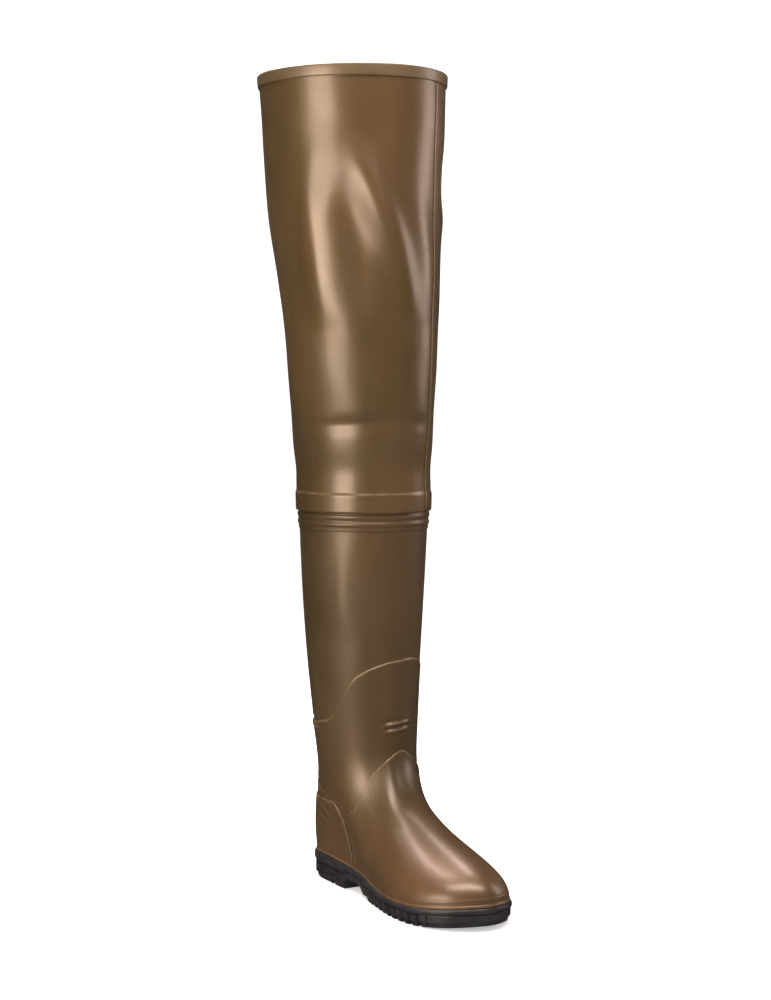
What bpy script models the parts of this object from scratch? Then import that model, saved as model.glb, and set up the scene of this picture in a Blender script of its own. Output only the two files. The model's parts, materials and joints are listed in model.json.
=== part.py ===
# Hip wader, right boot. Metres, +Z up, toe along +X, inner side of the leg along +Y.
# The origin is the middle of the heel's tread face, on the floor.
#
# The boot is one form. A column runs from the feather line, where upper and
# sole meet, up the foot to the ankle ring and on up the leg. "turn" is the
# direction of a column round the ankle ring: 0 is the shin, 180 the back.
# Everything that lies on the boot is sampled from that one form.

import math
from collections import namedtuple

import bmesh
import bpy
import numpy as np

# Driving sizes
FOOT_LENGTH = 0.300
BALL_WIDTH = 0.104
HEEL_STACK = 0.028
FOREFOOT_STACK = 0.018
TOE_SPRING = 0.006
ANKLE_HEIGHT = 0.150
LAP_HEIGHT = 0.404
BOOT_HEIGHT = 0.828
WALL = 0.0022
CLOTH = 0.0014
GAP = 0.0003
PATCH = 0.0012
PATCH_GAP = 0.0006
GUARD_STEP = 0.0010
FOXING_HEIGHT = 0.009
FOXING_DEPTH = 0.0018
SOLE_MARGIN = 0.0045
LUG_DEPTH = 0.005
INSOLE_DEPTH = 0.003
BAND_RISE = 0.0185
BINDING_DROP = 0.0105
BINDING_THICK = 0.0015
SEAM_WIDTH = 0.019
SEAM_TURN = 36.0
SEAM_FOOT = 0.002
TAPE = 0.00084
LAP_OVER = 0.0156
COLUMNS = 52

HEEL_CENTRE = 0.15 * FOOT_LENGTH
LAP_SEAM = LAP_HEIGHT - LAP_OVER

# Feather line and the foot's meridians, heel back = 0 along, shares of
# FOOT_LENGTH and of half BALL_WIDTH. rise and reach are the lengths of the
# meridian's end handles and lean is how far the lower one leans outwards,
# all three as shares of the height from the feather line to the ankle ring.
Meridian = namedtuple("Meridian", "turn along across lean rise reach")
MERIDIANS = (
    Meridian(turn=0, along=1.000, across=0.10, lean=0.05, rise=0.41, reach=0.74),
    Meridian(turn=8, along=0.968, across=0.50, lean=0.06, rise=0.35, reach=0.70),
    Meridian(turn=18, along=0.880, across=0.84, lean=0.06, rise=0.27, reach=0.68),
    Meridian(turn=32, along=0.735, across=0.98, lean=0.05, rise=0.19, reach=0.67),
    Meridian(turn=52, along=0.570, across=0.82, lean=0.03, rise=0.17, reach=0.64),
    Meridian(turn=80, along=0.390, across=0.60, lean=0.02, rise=0.26, reach=0.42),
    Meridian(turn=112, along=0.200, across=0.62, lean=0.03, rise=0.34, reach=0.33),
    Meridian(turn=145, along=0.060, across=0.48, lean=0.06, rise=0.34, reach=0.33),
    Meridian(turn=180, along=0.000, across=0.00, lean=0.08, rise=0.34, reach=0.33),
    Meridian(turn=215, along=0.060, across=-0.50, lean=0.06, rise=0.34, reach=0.33),
    Meridian(turn=248, along=0.200, across=-0.64, lean=0.03, rise=0.34, reach=0.33),
    Meridian(turn=280, along=0.390, across=-0.66, lean=0.02, rise=0.26, reach=0.42),
    Meridian(turn=306, along=0.560, across=-0.84, lean=0.03, rise=0.17, reach=0.64),
    Meridian(turn=326, along=0.710, across=-0.96, lean=0.05, rise=0.19, reach=0.67),
    Meridian(turn=341, along=0.855, across=-0.84, lean=0.06, rise=0.27, reach=0.68),
    Meridian(turn=351, along=0.950, across=-0.48, lean=0.06, rise=0.35, reach=0.70),
)

# Rings of the leg. height is a share of BOOT_HEIGHT, front and back are
# shares of FOOT_LENGTH from the heel back, half and drift of BALL_WIDTH.
Ring = namedtuple("Ring", "height front back half drift")
BOOT_RINGS = (
    Ring(height=0.121, front=0.433, back=0.057, half=0.423, drift=0.010),
    Ring(height=0.181, front=0.423, back=0.042, half=0.481, drift=0.005),
    Ring(height=0.242, front=0.425, back=0.020, half=0.524, drift=0.000),
    Ring(height=0.314, front=0.437, back=-0.005, half=0.563, drift=0.000),
    Ring(height=0.386, front=0.448, back=-0.017, half=0.596, drift=0.000),
    Ring(height=0.495, front=0.464, back=-0.027, half=0.623, drift=0.000),
)
THIGH_RINGS = (
    Ring(height=0.386, front=0.456, back=-0.025, half=0.622, drift=0.000),
    Ring(height=0.460, front=0.468, back=-0.032, half=0.640, drift=0.000),
    Ring(height=0.495, front=0.472, back=-0.036, half=0.647, drift=0.000),
    Ring(height=0.543, front=0.483, back=-0.041, half=0.665, drift=-0.010),
    Ring(height=0.664, front=0.510, back=-0.057, half=0.731, drift=-0.038),
    Ring(height=0.845, front=0.537, back=-0.090, half=0.827, drift=-0.087),
    Ring(height=1.015, front=0.557, back=-0.113, half=0.909, drift=-0.135),
)

# Height of the feather line and of the walking plane along the foot.
Level = namedtuple("Level", "along heel forefoot spring")
SEAT_LEVELS = (
    Level(along=-0.10, heel=1.00, forefoot=0.00, spring=0.0),
    Level(along=0.00, heel=1.00, forefoot=0.00, spring=0.0),
    Level(along=0.24, heel=0.98, forefoot=0.00, spring=0.0),
    Level(along=0.45, heel=0.45, forefoot=0.55, spring=0.0),
    Level(along=0.66, heel=0.00, forefoot=1.00, spring=0.0),
    Level(along=0.82, heel=0.00, forefoot=1.00, spring=0.12),
    Level(along=1.00, heel=0.00, forefoot=1.00, spring=1.0),
    Level(along=1.10, heel=0.00, forefoot=1.00, spring=1.6),
)
SPRING_START = 0.78
SPRING_POWER = 1.6

# Upper edges of the pieces laid on the boot. share is the place round the
# feather line from the toe by the inner side, height a share of ANKLE_HEIGHT.
Edge = namedtuple("Edge", "share height")
VAMP_EDGE = (
    Edge(share=-0.315, height=0.36),
    Edge(share=-0.306, height=0.44),
    Edge(share=-0.228, height=0.61),
    Edge(share=-0.158, height=0.80),
    Edge(share=-0.093, height=0.885),
    Edge(share=-0.021, height=0.945),
    Edge(share=0.035, height=0.975),
    Edge(share=0.090, height=0.945),
    Edge(share=0.155, height=0.885),
    Edge(share=0.215, height=0.80),
    Edge(share=0.285, height=0.61),
    Edge(share=0.366, height=0.44),
    Edge(share=0.375, height=0.36),
)
COUNTER_EDGE = (
    Edge(share=0.385, height=0.47),
    Edge(share=0.395, height=0.56),
    Edge(share=0.440, height=0.595),
    Edge(share=0.500, height=0.60),
    Edge(share=0.576, height=0.59),
    Edge(share=0.625, height=0.595),
    Edge(share=0.662, height=0.56),
    Edge(share=0.675, height=0.47),
)
GUARD_EDGE = (
    Edge(share=-0.500, height=1.14),
    Edge(share=-0.343, height=1.147),
    Edge(share=-0.285, height=1.193),
    Edge(share=-0.257, height=1.272),
    Edge(share=-0.226, height=1.374),
    Edge(share=-0.200, height=1.453),
    Edge(share=-0.160, height=1.510),
    Edge(share=-0.096, height=1.555),
    Edge(share=0.018, height=1.585),
    Edge(share=0.110, height=1.590),
    Edge(share=0.190, height=1.555),
    Edge(share=0.255, height=1.480),
    Edge(share=0.300, height=1.374),
    Edge(share=0.335, height=1.272),
    Edge(share=0.370, height=1.193),
    Edge(share=0.430, height=1.150),
    Edge(share=0.500, height=1.14),
)

# Rows of the foot from the feather line to the ankle ring, then of the leg as
# shares of the way to the guard edge and from there to the top, and of the
# thigh piece as heights from the lap edge and shares of the way above it.
FOOT_WAYS = np.array([0, 0.05, 0.11, 0.17, 0.23, 0.30, 0.38, 0.47, 0.56, 0.65, 0.74, 0.83, 0.92, 1.0])
GUARD_ROWS = (0.5, 1.0)
LEG_ROWS = (0.006, 0.48, 1.0)
LAP_ROWS = (-0.006, 0.004)
THIGH_ROWS = (0.18, 0.42, 0.70, 1.0)
ROW_GAP = 0.006
COLUMN_GAP = 0.005
LEG_PROBE = 0.005

# Side of the sole from its top edge down. margin is a share of SOLE_MARGIN,
# drop a share of the web between the top and the bottom of the grooves.
SideRow = namedtuple("SideRow", "margin drop")
SOLE_SIDE = (
    SideRow(margin=0.90, drop=0.00),
    SideRow(margin=1.10, drop=0.10),
    SideRow(margin=1.10, drop=0.26),
    SideRow(margin=0.82, drop=0.34),
    SideRow(margin=0.82, drop=0.72),
    SideRow(margin=0.62, drop=0.77),
)
FOOT_OF_LUG = 0.25

# Lugs across the tread and the heel, as shares of FOOT_LENGTH.
Lug = namedtuple("Lug", "start end")
HEEL_LUGS = (
    Lug(start=-1.0, end=0.073),
    Lug(start=0.093, end=0.207),
    Lug(start=0.227, end=0.293),
)
TREAD_LUGS = (
    Lug(start=0.487, end=0.523),
    Lug(start=0.543, end=0.573),
    Lug(start=0.593, end=0.623),
    Lug(start=0.643, end=0.673),
    Lug(start=0.693, end=0.723),
    Lug(start=0.743, end=0.773),
    Lug(start=0.793, end=0.823),
    Lug(start=0.847, end=2.0),
)
BREAST_TOP = 0.315
ARCH_END = 0.415
ARCH_HEIGHT = 0.42
LUG_DRAFT = 0.0006

# Other places where the sole's outline gets a rung, as shares of FOOT_LENGTH.
PLAIN_STATIONS = (
    0.010, 0.030, 0.055, 0.125, 0.165, 0.265, 0.505, 0.885, 0.920, 0.950, 0.975, 0.992,
)
STATION_GAP = 0.0015

# Band of two ribs under the lap, and the binding folded over the top edge.
Profile = namedtuple("Profile", "out up")
BAND_PROFILE = (
    Profile(out=0.0, up=0.00),
    Profile(out=0.6, up=0.00),
    Profile(out=0.8, up=0.22),
    Profile(out=1.7, up=0.38),
    Profile(out=0.8, up=0.56),
    Profile(out=1.7, up=0.80),
    Profile(out=0.8, up=1.00),
    Profile(out=0.0, up=1.00),
)


def smooth(knots, values, at):
    """Piecewise cubic through the values, with slopes from the neighbours."""
    knots = np.asarray(knots, float)
    values = np.asarray(values, float)
    at = np.asarray(at, float)
    step = np.diff(knots)
    rise = np.diff(values) / step
    slope = np.empty_like(values)
    slope[1:-1] = (rise[:-1] * step[1:] + rise[1:] * step[:-1]) / (step[:-1] + step[1:])
    slope[0] = rise[0]
    slope[-1] = rise[-1]
    i = np.clip(np.searchsorted(knots, at, side="right") - 1, 0, len(step) - 1)
    t = (at - knots[i]) / step[i]
    start = (2 * t**3 - 3 * t**2 + 1) * values[i] + (t**3 - 2 * t**2 + t) * step[i] * slope[i]
    end = (3 * t**2 - 2 * t**3) * values[i + 1] + (t**3 - t**2) * step[i] * slope[i + 1]
    return start + end


FEATHER_X = np.array([m.along for m in MERIDIANS]) * FOOT_LENGTH
FEATHER_Y = np.array([m.across for m in MERIDIANS]) * BALL_WIDTH / 2
CHORDS = np.hypot(np.diff(np.append(FEATHER_X, FEATHER_X[0])), np.diff(np.append(FEATHER_Y, FEATHER_Y[0])))
ROUND = CHORDS.sum()
KNOTS = np.concatenate([[0.0], np.cumsum(CHORDS)])[:-1]
KNOTS3 = np.concatenate([KNOTS - ROUND, KNOTS, KNOTS + ROUND])


def around(values, share, lap=0.0):
    """Smooth periodic value at a share of the way round the feather line."""
    values = np.asarray(values, float)
    three = np.concatenate([values - lap, values, values + lap])
    return smooth(KNOTS3, three, np.asarray(share, float) * ROUND)


def turn_at(share):
    return around([m.turn for m in MERIDIANS], share, 360.0)


def seat_height(x):
    """Height of the feather line, x from the heel back."""
    values = [
        lv.heel * HEEL_STACK + lv.forefoot * FOREFOOT_STACK + lv.spring * TOE_SPRING
        for lv in SEAT_LEVELS
    ]
    return smooth([lv.along for lv in SEAT_LEVELS], values, np.asarray(x) / FOOT_LENGTH)


def ground_height(x):
    """Height of the lugs' faces: flat under heel and ball, rising at the toe."""
    past = np.clip((np.asarray(x) / FOOT_LENGTH - SPRING_START) / (1 - SPRING_START), 0, None)
    return TOE_SPRING * past**SPRING_POWER


def ring_point(rings, turn, z):
    """Point of the leg's section at height z in the direction turn."""
    heights = [r.height * BOOT_HEIGHT for r in rings]
    front = smooth(heights, [r.front * FOOT_LENGTH for r in rings], z)
    back = smooth(heights, [r.back * FOOT_LENGTH for r in rings], z)
    half = smooth(heights, [r.half * BALL_WIDTH for r in rings], z)
    drift = smooth(heights, [r.drift * BALL_WIDTH for r in rings], z)
    angle = np.radians(turn)
    x = (front + back) / 2 + (front - back) / 2 * np.cos(angle)
    y = drift + half * np.sin(angle)
    return np.stack([x, y, z + 0 * x], -1)


def feather(share):
    """Feather point and outward direction in plan."""
    x = around(FEATHER_X, share)
    y = around(FEATHER_Y, share)
    e = 1e-4
    tx = around(FEATHER_X, np.asarray(share) + e) - around(FEATHER_X, np.asarray(share) - e)
    ty = around(FEATHER_Y, np.asarray(share) + e) - around(FEATHER_Y, np.asarray(share) - e)
    out = np.stack([ty, -tx, 0 * tx], -1)
    out /= np.linalg.norm(out, axis=-1, keepdims=True)
    return np.stack([x, y, seat_height(x)], -1), out


def boot_point(share, way):
    """Outer face of the moulded boot. way 0 to 1 is the foot, above 1 metres up the leg."""
    share, way = np.broadcast_arrays(np.asarray(share, float), np.asarray(way, float))
    turn = turn_at(share)
    foot, out = feather(share)
    tall = ANKLE_HEIGHT - foot[..., 2]
    lean = around([m.lean for m in MERIDIANS], share) * tall
    rise = around([m.rise for m in MERIDIANS], share) * tall
    reach = around([m.reach for m in MERIDIANS], share) * tall
    ankle = ring_point(BOOT_RINGS, turn, ANKLE_HEIGHT + 0 * turn)
    above = ring_point(BOOT_RINGS, turn, ANKLE_HEIGHT + LEG_PROBE + 0 * turn)
    leg = (above - ankle) / LEG_PROBE
    low = foot + out * lean[..., None]
    low[..., 2] += rise
    high = ankle - leg * reach[..., None]
    t = np.clip(way, 0, 1)[..., None]
    bend = (1 - t)**3 * foot + 3 * (1 - t)**2 * t * low + 3 * (1 - t) * t**2 * high + t**3 * ankle
    up = ring_point(BOOT_RINGS, turn, ANKLE_HEIGHT + np.clip(way - 1, 0, None))
    return np.where(way[..., None] <= 1, bend, up)


def thigh_point(share, z):
    share, z = np.broadcast_arrays(np.asarray(share, float), np.asarray(z, float))
    return ring_point(THIGH_RINGS, turn_at(share), z)


def normal_of(surface, share, way):
    """Outward unit normal of a surface function."""
    du = surface(np.asarray(share) + 1e-3, way) - surface(np.asarray(share) - 1e-3, way)
    low = np.maximum(np.asarray(way, float) - 2e-3, 0.0)
    dw = surface(share, np.asarray(way) + 2e-3) - surface(share, low)
    normal = np.cross(du, dw)
    return normal / np.linalg.norm(normal, axis=-1, keepdims=True)


def way_at(share, z):
    """The way up a column at which the boot's face has height z."""
    steps = np.linspace(0, 1, 81)
    found = np.empty(len(share))
    for i, (one, height) in enumerate(zip(share, z)):
        if height >= ANKLE_HEIGHT:
            found[i] = 1 + height - ANKLE_HEIGHT
        else:
            found[i] = np.interp(height, boot_point(one + 0 * steps, steps)[:, 2], steps)
    return found


def columns_between(start, end):
    """The boot's own columns from start to end, both ends included."""
    inside = [
        one + lap for lap in (-1, 0, 1) for one in COLUMN_SHARES
        if start + COLUMN_GAP < one + lap < end - COLUMN_GAP
    ]
    return np.array([start] + inside + [end])


def edge_height(edges, share):
    return smooth([e.share for e in edges], [e.height * ANKLE_HEIGHT for e in edges], share)


def guard_edge(share):
    """Height of the step in the boot's wall, in each column."""
    share = np.asarray(share, float)
    return edge_height(GUARD_EDGE, np.where(share > 0.5, share - 1, share))


def even_columns():
    """Shares spaced by a mean of the way round the foot and the turn of the leg."""
    share = np.linspace(0, 1, 1441)
    measure = 0.5 * share + 0.5 * turn_at(share) / 360.0
    return np.interp(np.arange(COLUMNS) / COLUMNS, measure, share)


COLUMN_SHARES = even_columns()


# Materials
def material(name, colour, roughness, coat=0.0):
    made = bpy.data.materials.new(name)
    made.use_nodes = True
    made.diffuse_color = (*colour, 1)
    shader = made.node_tree.nodes["Principled BSDF"]
    shader.inputs["Base Color"].default_value = (*colour, 1)
    shader.inputs["Roughness"].default_value = roughness
    shader.inputs["Coat Weight"].default_value = coat
    return made


# Solids
def add_object(name, points, faces, paint):
    """One closed body from points measured from the heel back."""
    mesh = bpy.data.meshes.new(name)
    moved = np.asarray(points, float) - np.array([HEEL_CENTRE, 0, 0])
    mesh.from_pydata([tuple(p) for p in moved], [], faces)
    mesh.materials.append(paint)
    bm = bmesh.new()
    bm.from_mesh(mesh)
    bmesh.ops.recalc_face_normals(bm, faces=bm.faces)
    bm.to_mesh(mesh)
    bm.free()
    made = bpy.data.objects.new(name, mesh)
    bpy.context.scene.collection.objects.link(made)
    return made


def add_shell(name, outer, inner, paint, closed):
    """Wall between two grids of rows and columns, closed round or with two ends."""
    rows, cols, _ = outer.shape
    points = np.concatenate([outer.reshape(-1, 3), inner.reshape(-1, 3)])
    back = rows * cols
    faces = []
    for c in range(cols if closed else cols - 1):
        d = (c + 1) % cols
        for r in range(rows - 1):
            a, b = r * cols, (r + 1) * cols
            faces.append((a + c, a + d, b + d, b + c))
            faces.append((back + a + d, back + a + c, back + b + c, back + b + d))
        top = (rows - 1) * cols
        faces.append((c, back + c, back + d, d))
        faces.append((top + c, top + d, back + top + d, back + top + c))
    if not closed:
        for r in range(rows - 1):
            a, b = r * cols, (r + 1) * cols
            faces.append((a, b, back + b, back + a))
            end = cols - 1
            faces.append((a + end, back + a + end, back + b + end, b + end))
    return add_object(name, points, faces, paint)


def add_ring(name, sections, paint):
    """Closed band swept round the leg. sections holds one loop for each column."""
    cols, count, _ = sections.shape
    faces = []
    for c in range(cols):
        d = (c + 1) % cols
        for k in range(count):
            m = (k + 1) % count
            faces.append((c * count + k, c * count + m, d * count + m, d * count + k))
    return add_object(name, sections.reshape(-1, 3), faces, paint)


def laid_on(surface, share, way, lift):
    """Points lifted off a surface along its normal, level at the feather line."""
    over = normal_of(surface, share, way)
    if surface is boot_point:
        _, out = feather(np.asarray(share, float) + 0 * way)
        over = np.where((np.asarray(way) + 0 * share)[..., None] <= 0, out, over)
    return surface(share, way) + over * lift


def on_facets(share, way, lift):
    """Points lifted off the foot's facets, between the boot's own rows."""
    k = np.clip(np.searchsorted(FOOT_WAYS, way, side="right") - 1, 0, len(FOOT_WAYS) - 2)
    t = ((way - FOOT_WAYS[k]) / (FOOT_WAYS[k + 1] - FOOT_WAYS[k]))[..., None]
    below = laid_on(boot_point, share, FOOT_WAYS[k], lift)
    above = laid_on(boot_point, share, FOOT_WAYS[k + 1], lift)
    return below * (1 - t) + above * t


def add_patch(name, share, low, high, thick, paint):
    """Overlay on the foot between two heights in each column, on the boot's own rows."""
    bottom = way_at(share, low)
    top = way_at(share, high)
    inside = FOOT_WAYS[(FOOT_WAYS > bottom.min() + ROW_GAP) & (FOOT_WAYS < top.max() - ROW_GAP)]
    rows = len(inside) + 2
    way = [bottom]
    for k, one in enumerate(inside, 1):
        way.append(np.clip(one, bottom + ROW_GAP * k, top - ROW_GAP * (rows - 1 - k)))
    way = np.array(way + [top])
    grid = np.broadcast_to(share, way.shape)
    outer = on_facets(grid, way, GUARD_STEP + PATCH_GAP + thick)
    inner = on_facets(grid, way, GUARD_STEP + PATCH_GAP)
    return add_shell(name, outer, inner, paint, False)


def add_upper(paint):
    """Moulded boot, one hollow wall open at both ends, a step thicker under the guard edge."""
    top_way = 1 + LAP_HEIGHT - ANKLE_HEIGHT
    edge_way = 1 + guard_edge(COLUMN_SHARES) - ANKLE_HEIGHT
    rows = [one + 0 * COLUMN_SHARES for one in FOOT_WAYS]
    rows += [1 + (edge_way - 1) * t for t in GUARD_ROWS]
    thick_rows = len(rows)
    rows += [edge_way + (top_way - edge_way) * t for t in LEG_ROWS]
    way = np.array(rows)
    step = np.where(np.arange(len(rows)) < thick_rows, GUARD_STEP, 0.0)[:, None, None]
    share = np.broadcast_to(COLUMN_SHARES, way.shape)
    outer = laid_on(boot_point, share, way, step)
    inner = laid_on(boot_point, share, way, -WALL)
    inner[-1, :, 2] = outer[-1, :, 2]
    return add_shell("upper", outer, inner, paint, True)


def add_insole(paint):
    """Flat board on the sole, inside the wall."""
    foot, out = feather(COLUMN_SHARES)
    rim = foot - out * (WALL + 3 * GAP)
    half = COLUMNS // 2
    toe = int(np.argmax(rim[:, 0]))
    order = [(toe + k) % COLUMNS for k in range(COLUMNS)]
    points = []
    faces = []
    strips = []
    for lift in (GAP, GAP + INSOLE_DEPTH):
        rungs = []
        for k in range(half + 1):
            a = rim[order[k]]
            b = rim[order[-k % COLUMNS]]
            rung = []
            for t in (0.0, 0.5, 1.0) if 0 < k < half else (0.0,):
                p = a + (b - a) * t
                rung.append(len(points))
                points.append((p[0], p[1], seat_height(p[0]) + lift))
            rungs.append(rung)
        strips.append(rungs)
    for rungs in strips:
        for one, two in zip(rungs, rungs[1:]):
            faces += ladder(one, two)
    for (l0, l1), (u0, u1) in zip(zip(strips[0], strips[0][1:]), zip(strips[1], strips[1][1:])):
        faces.append((l0[0], l1[0], u1[0], u0[0]))
        faces.append((l1[-1], l0[-1], u0[-1], u1[-1]))
    return add_object("insole", points, faces, paint)


def ladder(one, two):
    """Faces between two rungs. The first and last rung of a sole are one point."""
    if len(one) == 1:
        return [(one[0], two[k + 1], two[k]) for k in range(len(two) - 1)]
    if len(two) == 1:
        return [(one[k], one[k + 1], two[0]) for k in range(len(one) - 1)]
    return [(one[k], one[k + 1], two[k + 1], two[k]) for k in range(len(one) - 1)]


def tread_stations():
    """Places along the sole with their depth: 0 on a lug, 1 in a groove, 2 in the arch."""
    marks = []
    for lugs in (HEEL_LUGS, TREAD_LUGS):
        for lug, after in zip(lugs, lugs[1:]):
            marks.append((lug.end * FOOT_LENGTH, 0))
            marks.append((lug.end * FOOT_LENGTH + LUG_DRAFT, 1))
            marks.append((after.start * FOOT_LENGTH - LUG_DRAFT, 1))
            marks.append((after.start * FOOT_LENGTH, 0))
    marks.append((HEEL_LUGS[-1].end * FOOT_LENGTH, 0))
    marks.append((BREAST_TOP * FOOT_LENGTH, 2))
    marks.append(((BREAST_TOP + ARCH_END) / 2 * FOOT_LENGTH, 2))
    marks.append((ARCH_END * FOOT_LENGTH, 2))
    marks.append((TREAD_LUGS[0].start * FOOT_LENGTH, 0))
    taken = [m[0] for m in marks]
    for share in PLAIN_STATIONS:
        x = share * FOOT_LENGTH
        if min(abs(x - t) for t in taken) >= STATION_GAP:
            marks.append((x, 0))
    return sorted(marks)


def side_of_foot(x, inner_side):
    """Feather point and outward direction at x on one side of the foot."""
    share = np.linspace(0, 1, 1441)
    foot, out = feather(share)
    heel = int(np.argmin(foot[:, 0]))
    toe = int(np.argmax(foot[:heel, 0]))
    order = np.arange(heel, toe - 1, -1) if inner_side else np.arange(heel, len(share))
    at = [np.interp(x, foot[order, 0], foot[order, k]) for k in range(3)]
    way = np.array([np.interp(x, foot[order, 0], out[order, k]) for k in range(3)])
    return np.array(at), way / np.linalg.norm(way)


def across(rung, row):
    """Ends of a rung at one row of its sides. At the tips both sides are one."""
    left, right = rung
    return [left[row]] if left is right else [left[row], right[row]]


def add_outsole(paint):
    """Sole with two tiers on its side, a lip, a heel block, an arch and cross lugs."""
    arch = HEEL_STACK * ARCH_HEIGHT
    foot, _ = feather(np.linspace(0, 1, 2881))
    points = []
    faces = []

    def side(base, out, kind):
        x = base[0]
        top = float(seat_height(x)) - GAP
        web = float(ground_height(x)) + LUG_DEPTH
        low = float(ground_height(x)) + (0.0, LUG_DEPTH, arch)[kind]
        web = max(web, low)
        made = []
        for row in SOLE_SIDE:
            p = base + out * (row.margin * SOLE_MARGIN)
            z = top - row.drop * (top - web)
            made.append(len(points))
            points.append((p[0], p[1], z))
        p = base + out * (FOOT_OF_LUG * SOLE_MARGIN)
        made.append(len(points))
        points.append((p[0], p[1], low))
        return made

    heel_tip = side(foot[np.argmin(foot[:, 0])], np.array([-1.0, 0, 0]), 0)
    rungs = [(heel_tip, heel_tip)]
    for x, kind in tread_stations():
        rungs.append((side(*side_of_foot(x, False), kind), side(*side_of_foot(x, True), kind)))
    toe_tip = side(foot[np.argmax(foot[:, 0])], np.array([1.0, 0, 0]), 0)
    rungs.append((toe_tip, toe_tip))
    for rung, after in zip(rungs, rungs[1:]):
        for r in range(len(heel_tip) - 1):
            faces.append((rung[0][r], rung[0][r + 1], after[0][r + 1], after[0][r]))
            faces.append((rung[1][r], after[1][r], after[1][r + 1], rung[1][r + 1]))
        faces += ladder(across(rung, 0), across(after, 0))
        faces += ladder(across(rung, -1), across(after, -1))
    return add_object("outsole", points, faces, paint)


def add_foxing(paint):
    """Low strip of the upper's rubber round the foot, standing on the sole's edge."""
    foot, out = feather(COLUMN_SHARES)
    top = way_at(COLUMN_SHARES, foot[:, 2] + FOXING_HEIGHT)
    middle = np.minimum(FOOT_WAYS[1], top - ROW_GAP)
    near = GUARD_STEP + GAP
    far = near + FOXING_DEPTH
    loops = np.stack([
        foot + out * near,
        foot + out * far,
        on_facets(COLUMN_SHARES, middle, far),
        on_facets(COLUMN_SHARES, top, far),
        on_facets(COLUMN_SHARES, top, near),
        on_facets(COLUMN_SHARES, middle, near),
    ], 1)
    return add_ring("foxing", loops, paint)


def add_knee_band(paint):
    """Two ribs round the leg just under the lap of the thigh piece."""
    start = LAP_SEAM - GAP - BAND_RISE
    loops = []
    for p in BAND_PROFILE:
        way = 1 + start + p.up * BAND_RISE - ANKLE_HEIGHT + 0 * COLUMN_SHARES
        loops.append(laid_on(boot_point, COLUMN_SHARES, way, GAP + p.out / 1000))
    return add_ring("knee_band", np.stack(loops, 1), paint)


def thigh_rows():
    """Heights of the thigh piece's rows, from its lower edge to the top."""
    return np.concatenate([
        [LAP_SEAM],
        LAP_HEIGHT + np.array(LAP_ROWS),
        LAP_HEIGHT + (BOOT_HEIGHT - LAP_HEIGHT) * np.array(THIGH_ROWS),
    ])


def add_thigh(paint):
    """Thin tube over the top of the moulded boot, up to the hip."""
    z = thigh_rows()[:, None]
    share = np.broadcast_to(COLUMN_SHARES, (len(z), COLUMNS))
    z = np.broadcast_to(z, share.shape)
    outer = thigh_point(share, z)
    boot = boot_point(share, 1 + z - ANKLE_HEIGHT)
    out = outer - outer.mean(axis=1, keepdims=True)
    out /= np.linalg.norm(out, axis=-1, keepdims=True)
    inner = outer - out * CLOTH
    lap = boot + normal_of(boot_point, share, 1 + z - ANKLE_HEIGHT) * GAP
    lap[..., 2] = z
    inner = np.where(z[..., None] < LAP_HEIGHT, lap, inner)
    return add_shell("thigh_shaft", outer, inner, paint, True)


def add_binding(paint):
    """Strip folded over the thigh piece's top edge."""
    top = BOOT_HEIGHT
    low = top - BINDING_DROP
    thick = BINDING_THICK
    profile = (
        (GAP, low),
        (GAP + thick, low),
        (GAP + thick * 0.7, top + GAP + thick * 0.6),
        (-CLOTH - GAP - thick * 0.7, top + GAP + thick * 0.6),
        (-CLOTH - GAP - thick, low),
        (-CLOTH - GAP, low),
        (-CLOTH - GAP, top + GAP),
        (GAP, top + GAP),
    )
    loops = []
    for out, z in profile:
        base = thigh_point(COLUMN_SHARES, min(z, top) + 0 * COLUMN_SHARES)
        away = base - base.mean(axis=0)
        away[:, 2] = 0
        away /= np.linalg.norm(away, axis=-1, keepdims=True)
        point = base + away * out
        point[:, 2] = z
        loops.append(point)
    return add_ring("collar_binding", np.stack(loops, 1), paint)


def add_seam(paint):
    """Raised tape down the front of the thigh piece."""
    share = np.linspace(0, 0.5, 721)
    turn = turn_at(share)
    middle = float(np.interp(SEAM_TURN, turn, share))
    ring = thigh_point(share, BOOT_HEIGHT * 0.75 + 0 * share)
    length = np.concatenate([[0], np.cumsum(np.linalg.norm(np.diff(ring, axis=0), axis=1))])
    at = float(np.interp(middle, share, length))
    start = float(np.interp(at - SEAM_WIDTH / 2, length, share))
    end = float(np.interp(at + SEAM_WIDTH / 2, length, share))
    cols = columns_between(start, end)
    z = thigh_rows()
    z[-1] = BOOT_HEIGHT - BINDING_DROP - GAP
    z[0] += SEAM_FOOT
    grid = np.broadcast_to(cols, (len(z), len(cols)))
    rows = np.broadcast_to(z[:, None], grid.shape)
    outer = laid_on(thigh_point, grid, rows, GAP + TAPE)
    inner = laid_on(thigh_point, grid, rows, GAP)
    return add_shell("thigh_seam", outer, inner, paint, False)


def foxing_top(share):
    foot, _ = feather(share)
    return foot[:, 2] + FOXING_HEIGHT + GAP


def add_overlays(paint):
    """Vamp cover and heel counter, laid on the foot above the foxing."""
    vamp = columns_between(VAMP_EDGE[0].share, VAMP_EDGE[-1].share)
    add_patch("vamp_cover", vamp, foxing_top(vamp), edge_height(VAMP_EDGE, vamp), PATCH, paint)
    heel = columns_between(COUNTER_EDGE[0].share, COUNTER_EDGE[-1].share)
    add_patch("heel_counter", heel, foxing_top(heel), edge_height(COUNTER_EDGE, heel), PATCH, paint)


for old in list(bpy.data.objects):
    bpy.data.objects.remove(old, do_unlink=True)

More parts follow.
